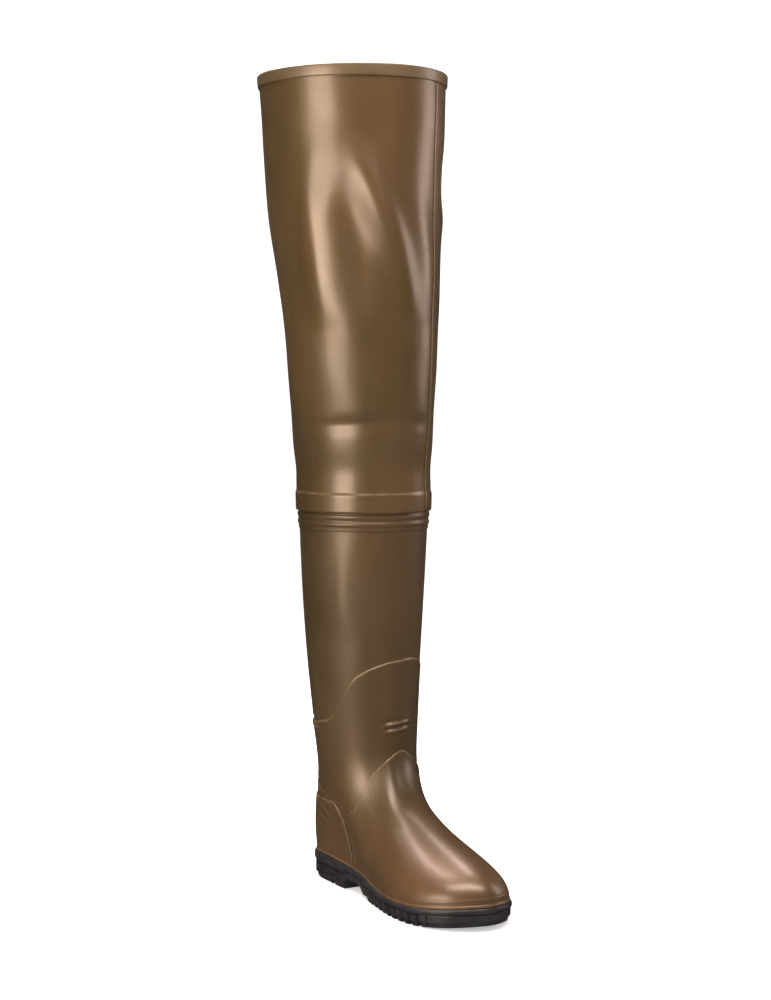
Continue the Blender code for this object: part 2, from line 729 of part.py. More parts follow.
BROWN = material("olive brown rubber", (0.150, 0.094, 0.046), 0.34, 0.3)
THIGH = material("olive brown thigh rubber", (0.155, 0.098, 0.048), 0.36, 0.3)
TRIM = material("light brown binding rubber", (0.21, 0.145, 0.085), 0.38, 0.2)
BLACK = material("black sole rubber", (0.020, 0.019, 0.021), 0.55)
FELT = material("grey insole felt", (0.16, 0.15, 0.14), 0.9)

add_upper(BROWN)
add_outsole(BLACK)
add_insole(FELT)
add_foxing(BROWN)
add_overlays(BROWN)
add_knee_band(BROWN)
add_thigh(THIGH)
add_seam(THIGH)
add_binding(TRIM)
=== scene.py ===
# %% [markdown]
# # A hip wader for the right leg
# The boot is moulded rubber up to the knee, with a lugged black sole. A thin rubber tube laps over
# its top and reaches the hip. The solids of each piece come packed as a frame, and this script
# gives every piece its fine surface, its folds and its finish, in the same place and size.

# %% Load the frame
import json
import math
from collections import namedtuple

import bmesh
import bpy
import numpy as np
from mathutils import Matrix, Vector

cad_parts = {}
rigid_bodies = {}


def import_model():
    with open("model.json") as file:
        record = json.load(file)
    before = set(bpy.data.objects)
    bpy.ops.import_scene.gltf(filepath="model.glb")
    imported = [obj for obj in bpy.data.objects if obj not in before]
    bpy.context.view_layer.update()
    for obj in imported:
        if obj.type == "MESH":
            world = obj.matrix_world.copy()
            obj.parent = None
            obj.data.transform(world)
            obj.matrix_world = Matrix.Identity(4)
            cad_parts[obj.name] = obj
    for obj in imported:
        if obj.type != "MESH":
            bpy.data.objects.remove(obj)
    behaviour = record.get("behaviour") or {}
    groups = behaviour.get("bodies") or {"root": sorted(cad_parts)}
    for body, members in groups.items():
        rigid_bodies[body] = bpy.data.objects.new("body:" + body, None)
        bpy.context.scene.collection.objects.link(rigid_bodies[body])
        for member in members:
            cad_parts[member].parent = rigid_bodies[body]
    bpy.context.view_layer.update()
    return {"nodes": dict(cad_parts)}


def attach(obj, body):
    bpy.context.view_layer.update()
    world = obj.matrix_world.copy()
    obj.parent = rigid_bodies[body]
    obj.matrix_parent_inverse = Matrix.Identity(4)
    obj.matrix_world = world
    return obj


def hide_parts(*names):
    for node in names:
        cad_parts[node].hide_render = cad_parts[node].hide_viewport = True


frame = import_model()
print("solids:", sorted(frame["nodes"]))

# %% [markdown]
# ## The studio
# The boot stands on a pale floor that bends up behind it. The camera stands to the front of the
# boot's outer side, at table height, so the top edge is seen from below and the sole from above.
# The paper goes all the way round, because the boot is looked at from every side. It is kept out
# of mirror reflections: white walls would wash out the dark sides of glossy rubber.

# %% Camera
LEG_AXIS = Vector((0.023, 0.0, 0.0))
VIEW_TURN = math.radians(29.95)
VIEW_DISTANCE = 2.085
VIEW_HEIGHT = 0.518
AIM_RIGHT = 0.0216
AIM_HEIGHT = 0.398
FRAME_HEIGHT = 1000
FOCAL_PIXELS = 2021
SENSOR = 36.0

to_camera = Vector((math.cos(VIEW_TURN), -math.sin(VIEW_TURN), 0.0))
to_right = Vector((math.sin(VIEW_TURN), math.cos(VIEW_TURN), 0.0))
camera_place = LEG_AXIS + to_camera * VIEW_DISTANCE + Vector((0, 0, VIEW_HEIGHT))
aim = LEG_AXIS + to_right * AIM_RIGHT + Vector((0, 0, AIM_HEIGHT))

camera_data = bpy.data.cameras.new("camera")
camera_data.sensor_width = SENSOR
camera_data.lens = FOCAL_PIXELS / FRAME_HEIGHT * SENSOR
camera = bpy.data.objects.new("camera", camera_data)
camera.location = camera_place
camera.rotation_euler = (aim - camera_place).to_track_quat("-Z", "Y").to_euler()
bpy.context.scene.collection.objects.link(camera)
bpy.context.scene.camera = camera
print("camera at", [round(c, 3) for c in camera_place], "lens", round(camera_data.lens, 1), "mm")

# %% Floor and backdrop
PAPER_RADIUS = 4.2
COVE_RADIUS = 1.4
WALL_HEIGHT = 3.0
PAPER_GLOW = 0.42


def paper_finish():
    """Matt white paper, lit from behind a little, so that it stays pale from every side."""
    made = bpy.data.materials.new("pale paper")
    made.use_nodes = True
    shader = made.node_tree.nodes["Principled BSDF"]
    shader.inputs["Base Color"].default_value = (0.80, 0.80, 0.80, 1)
    shader.inputs["Roughness"].default_value = 0.9
    shader.inputs["Emission Color"].default_value = (1.0, 1.0, 1.0, 1)
    shader.inputs["Emission Strength"].default_value = PAPER_GLOW
    return made


def add_backdrop():
    """Round floor that bends up into a wall, spun from one profile."""
    bm = bmesh.new()
    centre = bm.verts.new((0, 0, 0))
    rim = bm.verts.new((PAPER_RADIUS - COVE_RADIUS, 0, 0))
    bm.edges.new((centre, rim))
    bend = bmesh.ops.spin(
        bm, geom=[rim], cent=(PAPER_RADIUS - COVE_RADIUS, 0, COVE_RADIUS), axis=(0, -1, 0),
        angle=math.radians(90), steps=16, use_merge=False,
    )
    last = [g for g in bend["geom_last"] if isinstance(g, bmesh.types.BMVert)]
    wall = bmesh.ops.extrude_vert_indiv(bm, verts=last)
    bmesh.ops.translate(bm, verts=wall["verts"], vec=(0, 0, WALL_HEIGHT))
    bmesh.ops.spin(
        bm, geom=bm.verts[:] + bm.edges[:], cent=(0, 0, 0), axis=(0, 0, 1),
        angle=math.radians(360), steps=72, use_merge=True,
    )
    bmesh.ops.remove_doubles(bm, verts=bm.verts, dist=1e-4)
    bmesh.ops.recalc_face_normals(bm, faces=bm.faces)
    mesh = bpy.data.meshes.new("backdrop")
    bm.to_mesh(mesh)
    bm.free()
    mesh.shade_smooth()
    mesh.materials.append(paper_finish())
    made = bpy.data.objects.new("backdrop", mesh)
    made.visible_glossy = False
    bpy.context.scene.collection.objects.link(made)
    return made


backdrop = add_backdrop()
print("backdrop faces:", len(backdrop.data.polygons))

# %% [markdown]
# Glossy rubber shows its lights as streaks, so each light is placed where the surface mirrors it
# to the camera. A wide box to the left draws the column down the leg. A dim one behind the right
# side lifts the front edge. A box above the heel lights the instep, and a strip hung across in
# front of it draws the line over the toe.

# %% Lights
LIGHT_DISTANCE = 1.9
ROOM_LIGHT = 0.06
ROOM_COLOUR = (1.0, 0.88, 0.76, 1)


def add_soft_light(name, place, target, width, height, power, colour):
    """A rectangular soft box that faces its target."""
    data = bpy.data.lights.new(name, "AREA")
    data.shape = "RECTANGLE"
    data.size = width
    data.size_y = height
    data.energy = power
    data.color = colour
    made = bpy.data.objects.new(name, data)
    made.location = place
    made.rotation_euler = (Vector(target) - Vector(place)).to_track_quat("-Z", "Y").to_euler()
    made.visible_camera = False
    bpy.context.scene.collection.objects.link(made)


def beside_camera(degrees, distance, height):
    """A place round the leg, so many degrees to the right of the camera's direction."""
    angle = math.radians(degrees)
    flat = to_camera * math.cos(angle) + to_right * math.sin(angle)
    return LEG_AXIS + flat * distance + Vector((0, 0, height))


middle = LEG_AXIS + Vector((0, 0, 0.42))
over_foot = Vector((0.17, 0.0, 0.07))
over_boot = Vector((-0.64, 0.04, 1.78))
over_toe = Vector((0.76, -0.40, 1.76))
add_soft_light(
    "left box", beside_camera(-46, LIGHT_DISTANCE, 0.52), middle,
    width=1.00, height=0.76, power=27, colour=(1.0, 0.84, 0.70),
)
add_soft_light(
    "right box", beside_camera(105, LIGHT_DISTANCE, 0.95), middle,
    width=0.7, height=1.1, power=9, colour=(1.0, 0.82, 0.77),
)
add_soft_light(
    "instep box", over_boot, over_foot, width=1.1, height=0.9, power=66, colour=(1.0, 0.82, 0.78),
)
add_soft_light(
    "toe strip", over_toe, over_foot, width=1.7, height=0.34, power=40, colour=(1.0, 0.87, 0.83),
)

world = bpy.data.worlds.new("studio")
world.use_nodes = True
world.node_tree.nodes["Background"].inputs["Color"].default_value = ROOM_COLOUR
world.node_tree.nodes["Background"].inputs["Strength"].default_value = ROOM_LIGHT
bpy.context.scene.world = world
bpy.context.scene.view_settings.view_transform = "Standard"
print("lights:", sum(o.type == "LIGHT" for o in bpy.context.scene.objects))

# %% [markdown]
# ## The form of the boot
# Everything on this boot follows one form. A column starts on the feather line, where the upper
# meets the sole, runs up the foot to a ring round the ankle, and on up the leg. The feather line
# is a smooth closed curve through a few rows of a table, and the leg is a stack of ovals. The
# solids were made from the same tables, so pieces made from them here fall in the same place.

# %% Sizes of the boot
FOOT_LENGTH = 0.300
BALL_WIDTH = 0.104
HEEL_STACK = 0.028
FOREFOOT_STACK = 0.018
TOE_SPRING = 0.006
ANKLE_HEIGHT = 0.150
LAP_HEIGHT = 0.404
BOOT_HEIGHT = 0.828
WALL = 0.0022
CLOTH = 0.0014
GAP = 0.0003
PATCH = 0.0012
GUARD_STEP = 0.0010
FOXING_HEIGHT = 0.009
FOXING_DEPTH = 0.0018
SOLE_MARGIN = 0.0045
LUG_DEPTH = 0.005
INSOLE_DEPTH = 0.003
BAND_RISE = 0.0185
BINDING_DROP = 0.0105
SEAM_WIDTH = 0.019
LAP_OVER = 0.0156
HEEL_CENTRE = 0.15 * FOOT_LENGTH
LAP_SEAM = LAP_HEIGHT - LAP_OVER
print("foot:", round(FOOT_LENGTH * 1000), "mm long, boot:", round(BOOT_HEIGHT * 1000), "mm tall")

# %% Columns, rings and levels
Meridian = namedtuple("Meridian", "turn along across lean rise reach")
MERIDIANS = (
    Meridian(turn=0, along=1.000, across=0.10, lean=0.05, rise=0.41, reach=0.74),
    Meridian(turn=8, along=0.968, across=0.50, lean=0.06, rise=0.35, reach=0.70),
    Meridian(turn=18, along=0.880, across=0.84, lean=0.06, rise=0.27, reach=0.68),
    Meridian(turn=32, along=0.735, across=0.98, lean=0.05, rise=0.19, reach=0.67),
    Meridian(turn=52, along=0.570, across=0.82, lean=0.03, rise=0.17, reach=0.64),
    Meridian(turn=80, along=0.390, across=0.60, lean=0.02, rise=0.26, reach=0.42),
    Meridian(turn=112, along=0.200, across=0.62, lean=0.03, rise=0.34, reach=0.33),
    Meridian(turn=145, along=0.060, across=0.48, lean=0.06, rise=0.34, reach=0.33),
    Meridian(turn=180, along=0.000, across=0.00, lean=0.08, rise=0.34, reach=0.33),
    Meridian(turn=215, along=0.060, across=-0.50, lean=0.06, rise=0.34, reach=0.33),
    Meridian(turn=248, along=0.200, across=-0.64, lean=0.03, rise=0.34, reach=0.33),
    Meridian(turn=280, along=0.390, across=-0.66, lean=0.02, rise=0.26, reach=0.42),
    Meridian(turn=306, along=0.560, across=-0.84, lean=0.03, rise=0.17, reach=0.64),
    Meridian(turn=326, along=0.710, across=-0.96, lean=0.05, rise=0.19, reach=0.67),
    Meridian(turn=341, along=0.855, across=-0.84, lean=0.06, rise=0.27, reach=0.68),
    Meridian(turn=351, along=0.950, across=-0.48, lean=0.06, rise=0.35, reach=0.70),
)

Ring = namedtuple("Ring", "height front back half drift")
BOOT_RINGS = (
    Ring(height=0.121, front=0.433, back=0.057, half=0.423, drift=0.010),
    Ring(height=0.181, front=0.423, back=0.042, half=0.481, drift=0.005),
    Ring(height=0.242, front=0.425, back=0.020, half=0.524, drift=0.000),
    Ring(height=0.314, front=0.437, back=-0.005, half=0.563, drift=0.000),
    Ring(height=0.386, front=0.448, back=-0.017, half=0.596, drift=0.000),
    Ring(height=0.495, front=0.464, back=-0.027, half=0.623, drift=0.000),
)
THIGH_RINGS = (
    Ring(height=0.386, front=0.456, back=-0.025, half=0.622, drift=0.000),
    Ring(height=0.460, front=0.468, back=-0.032, half=0.640, drift=0.000),
    Ring(height=0.495, front=0.472, back=-0.036, half=0.647, drift=0.000),
    Ring(height=0.543, front=0.483, back=-0.041, half=0.665, drift=-0.010),
    Ring(height=0.664, front=0.510, back=-0.057, half=0.731, drift=-0.038),
    Ring(height=0.845, front=0.537, back=-0.090, half=0.827, drift=-0.087),
    Ring(height=1.015, front=0.557, back=-0.113, half=0.909, drift=-0.135),
)

Level = namedtuple("Level", "along heel forefoot spring")
SEAT_LEVELS = (
    Level(along=-0.10, heel=1.00, forefoot=0.00, spring=0.0),
    Level(along=0.00, heel=1.00, forefoot=0.00, spring=0.0),
    Level(along=0.24, heel=0.98, forefoot=0.00, spring=0.0),
    Level(along=0.45, heel=0.45, forefoot=0.55, spring=0.0),
    Level(along=0.66, heel=0.00, forefoot=1.00, spring=0.0),
    Level(along=0.82, heel=0.00, forefoot=1.00, spring=0.12),
    Level(along=1.00, heel=0.00, forefoot=1.00, spring=1.0),
    Level(along=1.10, heel=0.00, forefoot=1.00, spring=1.6),
)
SPRING_START = 0.78
SPRING_POWER = 1.6
LEG_PROBE = 0.005
print("rows:", len(MERIDIANS), "meridians,", len(BOOT_RINGS) + len(THIGH_RINGS), "rings")


# %% Smooth curves through the tables
def smooth(knots, values, at):
    """Piecewise cubic through the values, with slopes from the neighbours."""
    knots = np.asarray(knots, float)
    values = np.asarray(values, float)
    at = np.asarray(at, float)
    step = np.diff(knots)
    rise = np.diff(values) / step
    slope = np.empty_like(values)
    slope[1:-1] = (rise[:-1] * step[1:] + rise[1:] * step[:-1]) / (step[:-1] + step[1:])
    slope[0] = rise[0]
    slope[-1] = rise[-1]
    i = np.clip(np.searchsorted(knots, at, side="right") - 1, 0, len(step) - 1)
    t = (at - knots[i]) / step[i]
    start = (2 * t**3 - 3 * t**2 + 1) * values[i] + (t**3 - 2 * t**2 + t) * step[i] * slope[i]
    end = (3 * t**2 - 2 * t**3) * values[i + 1] + (t**3 - t**2) * step[i] * slope[i + 1]
    return start + end


# %% The feather line
FEATHER_X = np.array([m.along for m in MERIDIANS]) * FOOT_LENGTH - HEEL_CENTRE
FEATHER_Y = np.array([m.across for m in MERIDIANS]) * BALL_WIDTH / 2
CHORDS = np.hypot(np.roll(FEATHER_X, -1) - FEATHER_X, np.roll(FEATHER_Y, -1) - FEATHER_Y)
ROUND = CHORDS.sum()
KNOTS = np.concatenate([[0.0], np.cumsum(CHORDS)])[:-1]
KNOTS3 = np.concatenate([KNOTS - ROUND, KNOTS, KNOTS + ROUND])


def around(values, share, lap=0.0):
    """Smooth value at a share of the way round the feather line."""
    values = np.asarray(values, float)
    three = np.concatenate([values - lap, values, values + lap])
    return smooth(KNOTS3, three, np.asarray(share, float) * ROUND)


def turn_at(share):
    """Direction round the leg of a column, in degrees."""
    return around([m.turn for m in MERIDIANS], share, 360.0)


def foot_share(x):
    """Share of the foot length at x, 0 at the heel's tip and 1 at the toe's."""
    return (np.asarray(x) + HEEL_CENTRE) / FOOT_LENGTH


def seat_height(x):
    """Height of the feather line at x."""
    values = [
        lv.heel * HEEL_STACK + lv.forefoot * FOREFOOT_STACK + lv.spring * TOE_SPRING
        for lv in SEAT_LEVELS
    ]
    return smooth([lv.along for lv in SEAT_LEVELS], values, foot_share(x))


def ground_height(x):
    """Height of the lugs' faces: flat under heel and ball, rising at the toe."""
    rise = np.clip((foot_share(x) - SPRING_START) / (1 - SPRING_START), 0, None)
    return TOE_SPRING * rise**SPRING_POWER


print("feather line:", round(ROUND * 1000), "mm round")


# %% Points of the boot and the thigh piece
def ring_point(rings, turn, z):
    """Point of the leg's oval at height z in the direction turn."""
    heights = [r.height * BOOT_HEIGHT for r in rings]
    front = smooth(heights, [r.front * FOOT_LENGTH for r in rings], z)
    back = smooth(heights, [r.back * FOOT_LENGTH for r in rings], z)
    half = smooth(heights, [r.half * BALL_WIDTH for r in rings], z)
    drift = smooth(heights, [r.drift * BALL_WIDTH for r in rings], z)
    angle = np.radians(turn)
    x = (front + back) / 2 + (front - back) / 2 * np.cos(angle) - HEEL_CENTRE
    y = drift + half * np.sin(angle)
    return np.stack([x, y, z + 0 * x], -1)


def feather(share):
    """Feather point and the outward direction in plan."""
    e = 1e-4
    x = around(FEATHER_X, share)
    y = around(FEATHER_Y, share)
    tx = around(FEATHER_X, np.asarray(share) + e) - around(FEATHER_X, np.asarray(share) - e)
    ty = around(FEATHER_Y, np.asarray(share) + e) - around(FEATHER_Y, np.asarray(share) - e)
    out = np.stack([ty, -tx, 0 * tx], -1)
    out /= np.linalg.norm(out, axis=-1, keepdims=True)
    return np.stack([x, y, seat_height(x)], -1), out


def boot_point(share, way):
    """Outer face of the moulded boot. way 0 to 1 is the foot, above 1 metres up the leg."""
    share, way = np.broadcast_arrays(np.asarray(share, float), np.asarray(way, float))
    turn = turn_at(share)
    foot, out = feather(share)
    tall = ANKLE_HEIGHT - foot[..., 2]
    lean = around([m.lean for m in MERIDIANS], share) * tall
    rise = around([m.rise for m in MERIDIANS], share) * tall
    reach = around([m.reach for m in MERIDIANS], share) * tall
    ankle = ring_point(BOOT_RINGS, turn, ANKLE_HEIGHT + 0 * turn)
    above = ring_point(BOOT_RINGS, turn, ANKLE_HEIGHT + LEG_PROBE + 0 * turn)
    leg = (above - ankle) / LEG_PROBE
    low = foot + out * lean[..., None]
    low[..., 2] += rise
    high = ankle - leg * reach[..., None]
    t = np.clip(way, 0, 1)[..., None]
    bend = (1 - t)**3 * foot + 3 * (1 - t)**2 * t * low + 3 * (1 - t) * t**2 * high + t**3 * ankle
    up = ring_point(BOOT_RINGS, turn, ANKLE_HEIGHT + np.clip(way - 1, 0, None))
    return np.where(way[..., None] <= 1, bend, up)


def thigh_point(share, z):
    """Outer face of the thigh piece at a height."""
    share, z = np.broadcast_arrays(np.asarray(share, float), np.asarray(z, float))
    return ring_point(THIGH_RINGS, turn_at(share), z)


# %% Normals and places on the surfaces
def normal_of(surface, share, way):
    """Outward unit normal of one of the two surfaces."""
    du = surface(np.asarray(share) + 1e-3, way) - surface(np.asarray(share) - 1e-3, way)
    low = np.maximum(np.asarray(way, float) - 2e-3, 0.0)
    dw = surface(share, np.asarray(way) + 2e-3) - surface(share, low)
    normal = np.cross(du, dw)
    return normal / np.linalg.norm(normal, axis=-1, keepdims=True)


def way_at(share, z):
    """The way up each column at which the boot's face has height z."""
    steps = np.linspace(0, 1, 121)
    found = np.empty(len(share))
    for i, (one, height) in enumerate(zip(share, z)):
        if height >= ANKLE_HEIGHT:
            found[i] = 1 + height - ANKLE_HEIGHT
        else:
            found[i] = np.interp(height, boot_point(one + 0 * steps, steps)[:, 2], steps)
    return found


FINE_SHARE = np.linspace(0, 1, 1441)


def even_share(a):
    """Share of the feather line, spaced by a mean of the foot's length and the leg's turn."""
    measure = 0.5 * FINE_SHARE + 0.5 * turn_at(FINE_SHARE) / 360.0
    return np.interp(a, measure, FINE_SHARE)


ankle_ring = boot_point(even_share(np.linspace(0, 1, 90)), 1.0)
print("ankle ring is", round(float(np.ptp(ankle_ring[:, 0])) * 1000), "mm deep")

# %% [markdown]
# ## Folds
# Rubber this thin never hangs as a clean cone. Each fold is a line on the surface, given by a few
# stops of turn and height, and it raises a soft ridge or sinks a soft trough along that line.
# The turn is in degrees from the shin, with the outer side negative, and heights and widths are
# real sizes. A lip puts a small ridge beside a trough, as rubber does when it is bent, and the
# crest of that ridge is painted paler, partly as wear and partly as a painted highlight.

# %% Fold lines
Fold = namedtuple("Fold", "stops width rise lip", defaults=(0.0,))
THIGH_FOLDS = {
    "left branch": Fold(((-62, 0.760), (-68, 0.700), (-63, 0.630), (-58, 0.570)), width=0.018, rise=0.0040),
    "right branch": Fold(((-32, 0.764), (-18, 0.700), (-5, 0.642), (7, 0.570)), width=0.015, rise=0.0098),
    "dent between": Fold(((-42, 0.726), (-37, 0.680), (-31, 0.630), (-26, 0.585)), width=0.016, rise=-0.0044),
    "outer hollow": Fold(((-74, 0.760), (-78, 0.660), (-76, 0.560)), width=0.020, rise=-0.0030),
    "front swell": Fold(((-8, 0.764), (6, 0.700), (18, 0.642), (28, 0.575)), width=0.022, rise=0.0036),
    "knee trough": Fold(((-96, 0.474), (-50, 0.4765), (-8, 0.480), (44, 0.477)), width=0.0075, rise=-0.0020),
    "inner dent high": Fold(((46, 0.728), (76, 0.722), (108, 0.706)), width=0.024, rise=-0.0050),
    "inner ridge high": Fold(((50, 0.690), (78, 0.684), (112, 0.668)), width=0.018, rise=0.0026),
    "inner dent middle": Fold(((56, 0.640), (84, 0.634), (120, 0.646)), width=0.022, rise=-0.0064),
    "inner dent low": Fold(((58, 0.548), (88, 0.540), (124, 0.552)), width=0.021, rise=-0.0056),
    "inner knee crease": Fold(
        ((60, 0.484), (90, 0.478), (128, 0.476)), width=0.0080, rise=-0.0034, lip=0.0018,
    ),
    "back fold high": Fold(((170, 0.700), (186, 0.620), (182, 0.540)), width=0.016, rise=0.0036),
    "back crease": Fold(((140, 0.468), (180, 0.458), (222, 0.470)), width=0.0075, rise=-0.0030, lip=0.0018),
    "back crease high": Fold(
        ((150, 0.505), (184, 0.497), (214, 0.508)), width=0.0090, rise=-0.0030, lip=0.0016,
    ),
    "outer back fold": Fold(((228, 0.780), (236, 0.690), (230, 0.590)), width=0.018, rise=0.0034),
}
BOOT_FOLDS = {
    "shin plane": Fold(((-22, 0.360), (-18, 0.300), (-24, 0.240)), width=0.015, rise=-0.0014),
    "outer leg": Fold(((-50, 0.370), (-52, 0.300), (-50, 0.255)), width=0.011, rise=0.0012),
    "instep crease": Fold(((-16, 0.1745), (2, 0.1768), (24, 0.1775)), width=0.0019, rise=-0.0010, lip=0.0015),
    "instep crease low": Fold(
        ((-15, 0.1672), (2, 0.1700), (22, 0.1712)), width=0.0021, rise=-0.0012, lip=0.0018,
    ),
    "outer crease": Fold(
        ((-132, 0.1740), (-112, 0.1710), (-88, 0.1700)), width=0.0030, rise=-0.0012, lip=0.0010,
    ),
    "heel crease high": Fold(
        ((-140, 0.1090), (-122, 0.1020), (-103, 0.0930)), width=0.0024, rise=-0.0012, lip=0.0011,
    ),
    "heel crease middle": Fold(
        ((-136, 0.0900), (-119, 0.0835), (-101, 0.0750)), width=0.0024, rise=-0.0011, lip=0.0010,
    ),
    "heel crease low": Fold(
        ((-131, 0.0750), (-115, 0.0690), (-99, 0.0620)), width=0.0022, rise=-0.0009, lip=0.0008,
    ),
    "heel crease inner": Fold(
        ((140, 0.1100), (124, 0.1040), (106, 0.0950)), width=0.0026, rise=-0.0012, lip=0.0010,
    ),
    "heel crease inner low": Fold(
        ((136, 0.0900), (118, 0.0835), (102, 0.0760)), width=0.0024, rise=-0.0010, lip=0.0009,
    ),
    "achilles crease": Fold(
        ((160, 0.1240), (186, 0.1200), (214, 0.1250)), width=0.0046, rise=-0.0013, lip=0.0010,
    ),
    "achilles crease high": Fold(
        ((156, 0.1430), (182, 0.1390), (208, 0.1450)), width=0.0052, rise=-0.0012, lip=0.0009,
    ),
    "vamp crease inner": Fold(
        ((52, 0.1120), (42, 0.1210), (30, 0.1300)), width=0.0020, rise=-0.0006, lip=0.0005,
    ),
    "instep ridge": Fold(
        ((-6, 0.1520), (-11, 0.1240), (-14, 0.1000), (-12, 0.0780)), width=0.0100, rise=0.0036,
    ),
}
print("folds:", len(THIGH_FOLDS), "on the thigh piece,", len(BOOT_FOLDS), "on the boot")


# %% Where points lie from a fold
FOLD_STEPS = 28
FOLD_REACH = 4


def hump(x, centre, width):
    """1 at the centre, falling softly to nothing on both sides."""
    return np.exp(-((x - centre) / width)**2)


def fold_path(fold, surface):
    """The fold's line as points on the surface."""
    turns, heights = zip(*fold.stops)
    t = np.linspace(0, 1, FOLD_STEPS)
    at = np.linspace(0, 1, len(turns))
    share = np.interp(smooth(at, turns, t) % 360, turn_at(FINE_SHARE), FINE_SHARE)
    height = smooth(at, heights, t)
    if surface is thigh_point:
        return surface(share, height)
    return surface(share, way_at(share, height))


def near_path(points, path):
    """Distance of each point from the path, its side of it, and how far along it lies."""
    best = np.full(len(points), np.inf)
    side = np.zeros(len(points))
    along = np.zeros(len(points))
    for k in range(len(path) - 1):
        a = path[k]
        d = path[k + 1] - a
        t = np.clip(((points - a) @ d) / (d @ d), 0, 1)
        off = points - a - t[:, None] * d
        far = np.linalg.norm(off, axis=1)
        closer = far < best
        across = np.cross(d, a - np.array([LEG_AXIS.x, 0, a[2]]))
        best[closer] = far[closer]
        side[closer] = np.sign(off[closer] @ across)
        along[closer] = (k + t[closer]) / (len(path) - 1)
    return best, side, np.clip(along, 0, 1)


def folds_near(points, folds, surface):
    """Each fold near the points, which of the points are close, and where those lie from it."""
    for fold in folds.values():
        path = fold_path(fold, surface)
        reach = fold.width * FOLD_REACH
        close = np.all((points > path.min(axis=0) - reach) & (points < path.max(axis=0) + reach), axis=1)
        if close.any():
            yield (fold, close, *near_path(points[close], path))


# %% How far a point is lifted by the folds
LIP_AWAY = 1.5
FAR_LIP_AWAY = 1.6
FAR_LIP = 0.5
CREST_WIDTH = 0.55
FADE_POWER = 1.2
THIGH_SWAY = 0.0016
BOOT_SWAY = 0.0006


def fold_lift(points, folds, surface):
    """Sum of all folds at the points, in metres."""
    lift = np.zeros(len(points))
    for fold, close, far, side, along in folds_near(points, folds, surface):
        shape = fold.rise * hump(far, 0, fold.width)
        if fold.lip:
            shape += fold.lip * hump(far * side, LIP_AWAY * fold.width, fold.width)
            shape += FAR_LIP * fold.lip * hump(far * side, -FAR_LIP_AWAY * fold.width, fold.width)
        lift[close] += shape * np.sin(np.pi * along)**FADE_POWER
    return lift


def crest_wear_and_highlight(points, folds, surface):
    """How far the points lie on the small ridge beside a crease, painted paler there as wear and as a painted
    highlight.
    """
    wear_and_highlight = np.zeros(len(points))
    for fold, close, far, side, along in folds_near(points, folds, surface):
        if fold.lip:
            crest = hump(far * side, LIP_AWAY * fold.width, CREST_WIDTH * fold.width)
            wear_and_highlight[close] = np.maximum(wear_and_highlight[close], crest * np.sin(np.pi * along))
    return wear_and_highlight


def thigh_sway(share, z):
    """Slow unevenness of the hanging tube, still at the binding and at the lap."""
    turn = np.radians(turn_at(share))
    up = (z - LAP_HEIGHT) / (BOOT_HEIGHT - LAP_HEIGHT)
    calm = np.clip(up * 5, 0, 1) * np.clip((1 - up) * 7, 0, 1)
    wave = np.sin(2 * turn + 5.0 * up + 0.6) * 0.5 + np.sin(3 * turn - 8.0 * up + 2.1) * 0.35
    ripple = np.sin(5 * turn + 15.0 * up) * np.sin(19.0 * up + turn) * 0.22
    return THIGH_SWAY * calm * (wave + ripple)


def boot_sway(share, way):
    """Faint unevenness of the moulded leg."""
    turn = np.radians(turn_at(share))
    up = np.clip(way - 1, 0, None) / (LAP_HEIGHT - ANKLE_HEIGHT)
    wave = np.sin(2 * turn + 6.0 * up) * 0.6 + np.sin(4 * turn - 9.0 * up + 1.3) * 0.3
    calm = np.clip(up * 4, 0, 1) * np.clip((1 - up) * 5, 0, 1)
    return BOOT_SWAY * calm * wave


# %% [markdown]
# ## Finishes
# The brown rubber is one compound in three uses: thick and satin on the boot, thin on the thigh
# piece, lighter on the binding. Its colour drifts between olive and a redder brown, its gloss
# is uneven because the layers were rolled on by hand, and a clear coat gives the sharp streaks.
# Noise on Object coordinates gives all of that, at the size that each effect has on the boot.

# %% Node helpers
def add_node(tree, kind, place, **settings):
    """One node at a place in the editor, with its settings."""
    node = tree.nodes.new(kind)
    node.location = place
    for name, value in settings.items():
        setattr(node, name, value)
    return node


def set_inputs(node, values):
    for name, value in values.items():
        node.inputs[name].default_value = value


def start_finish(name):
    """Empty finish with a shader and Object coordinates."""
    made = bpy.data.materials.new(name)
    made.use_nodes = True
    tree = made.node_tree
    shader = tree.nodes["Principled BSDF"]
    spots = add_node(tree, "ShaderNodeTexCoord", (-1400, 0))
    return made, tree, shader, spots.outputs["Object"]


# %% Noise, ramps and bumps
NOISE_LOW = 0.3
NOISE_HIGH = 0.7


def noise(tree, vector, scale, detail, place, stretch=None):
    """Noise on a vector, stretched along an axis if wanted."""
    if stretch:
        mapping = add_node(tree, "ShaderNodeMapping", (place[0] - 200, place[1]))
        mapping.inputs["Scale"].default_value = stretch
        tree.links.new(vector, mapping.inputs["Vector"])
        vector = mapping.outputs["Vector"]
    node = add_node(tree, "ShaderNodeTexNoise", place)
    set_inputs(node, {"Scale": scale, "Detail": detail, "Roughness": 0.55})
    tree.links.new(vector, node.inputs["Vector"])
    return node.outputs["Fac"]


def ramp(tree, factor, stops, place):
    """Colour ramp through (position, colour) stops."""
    node = add_node(tree, "ShaderNodeValToRGB", place)
    marks = node.color_ramp.elements
    while len(marks) < len(stops):
        marks.new(0.5)
    for mark, (position, colour) in zip(marks, stops):
        mark.position = position
        mark.color = (*colour, 1)
    tree.links.new(factor, node.inputs["Fac"])
    return node.outputs["Color"]


def to_range(tree, factor, low, high, place):
    """Spreads the middle of a noise over a range."""
    node = add_node(tree, "ShaderNodeMapRange", place)
    set_inputs(node, {"From Min": NOISE_LOW, "From Max": NOISE_HIGH, "To Min": low, "To Max": high})
    tree.links.new(factor, node.inputs["Value"])
    return node.outputs["Result"]


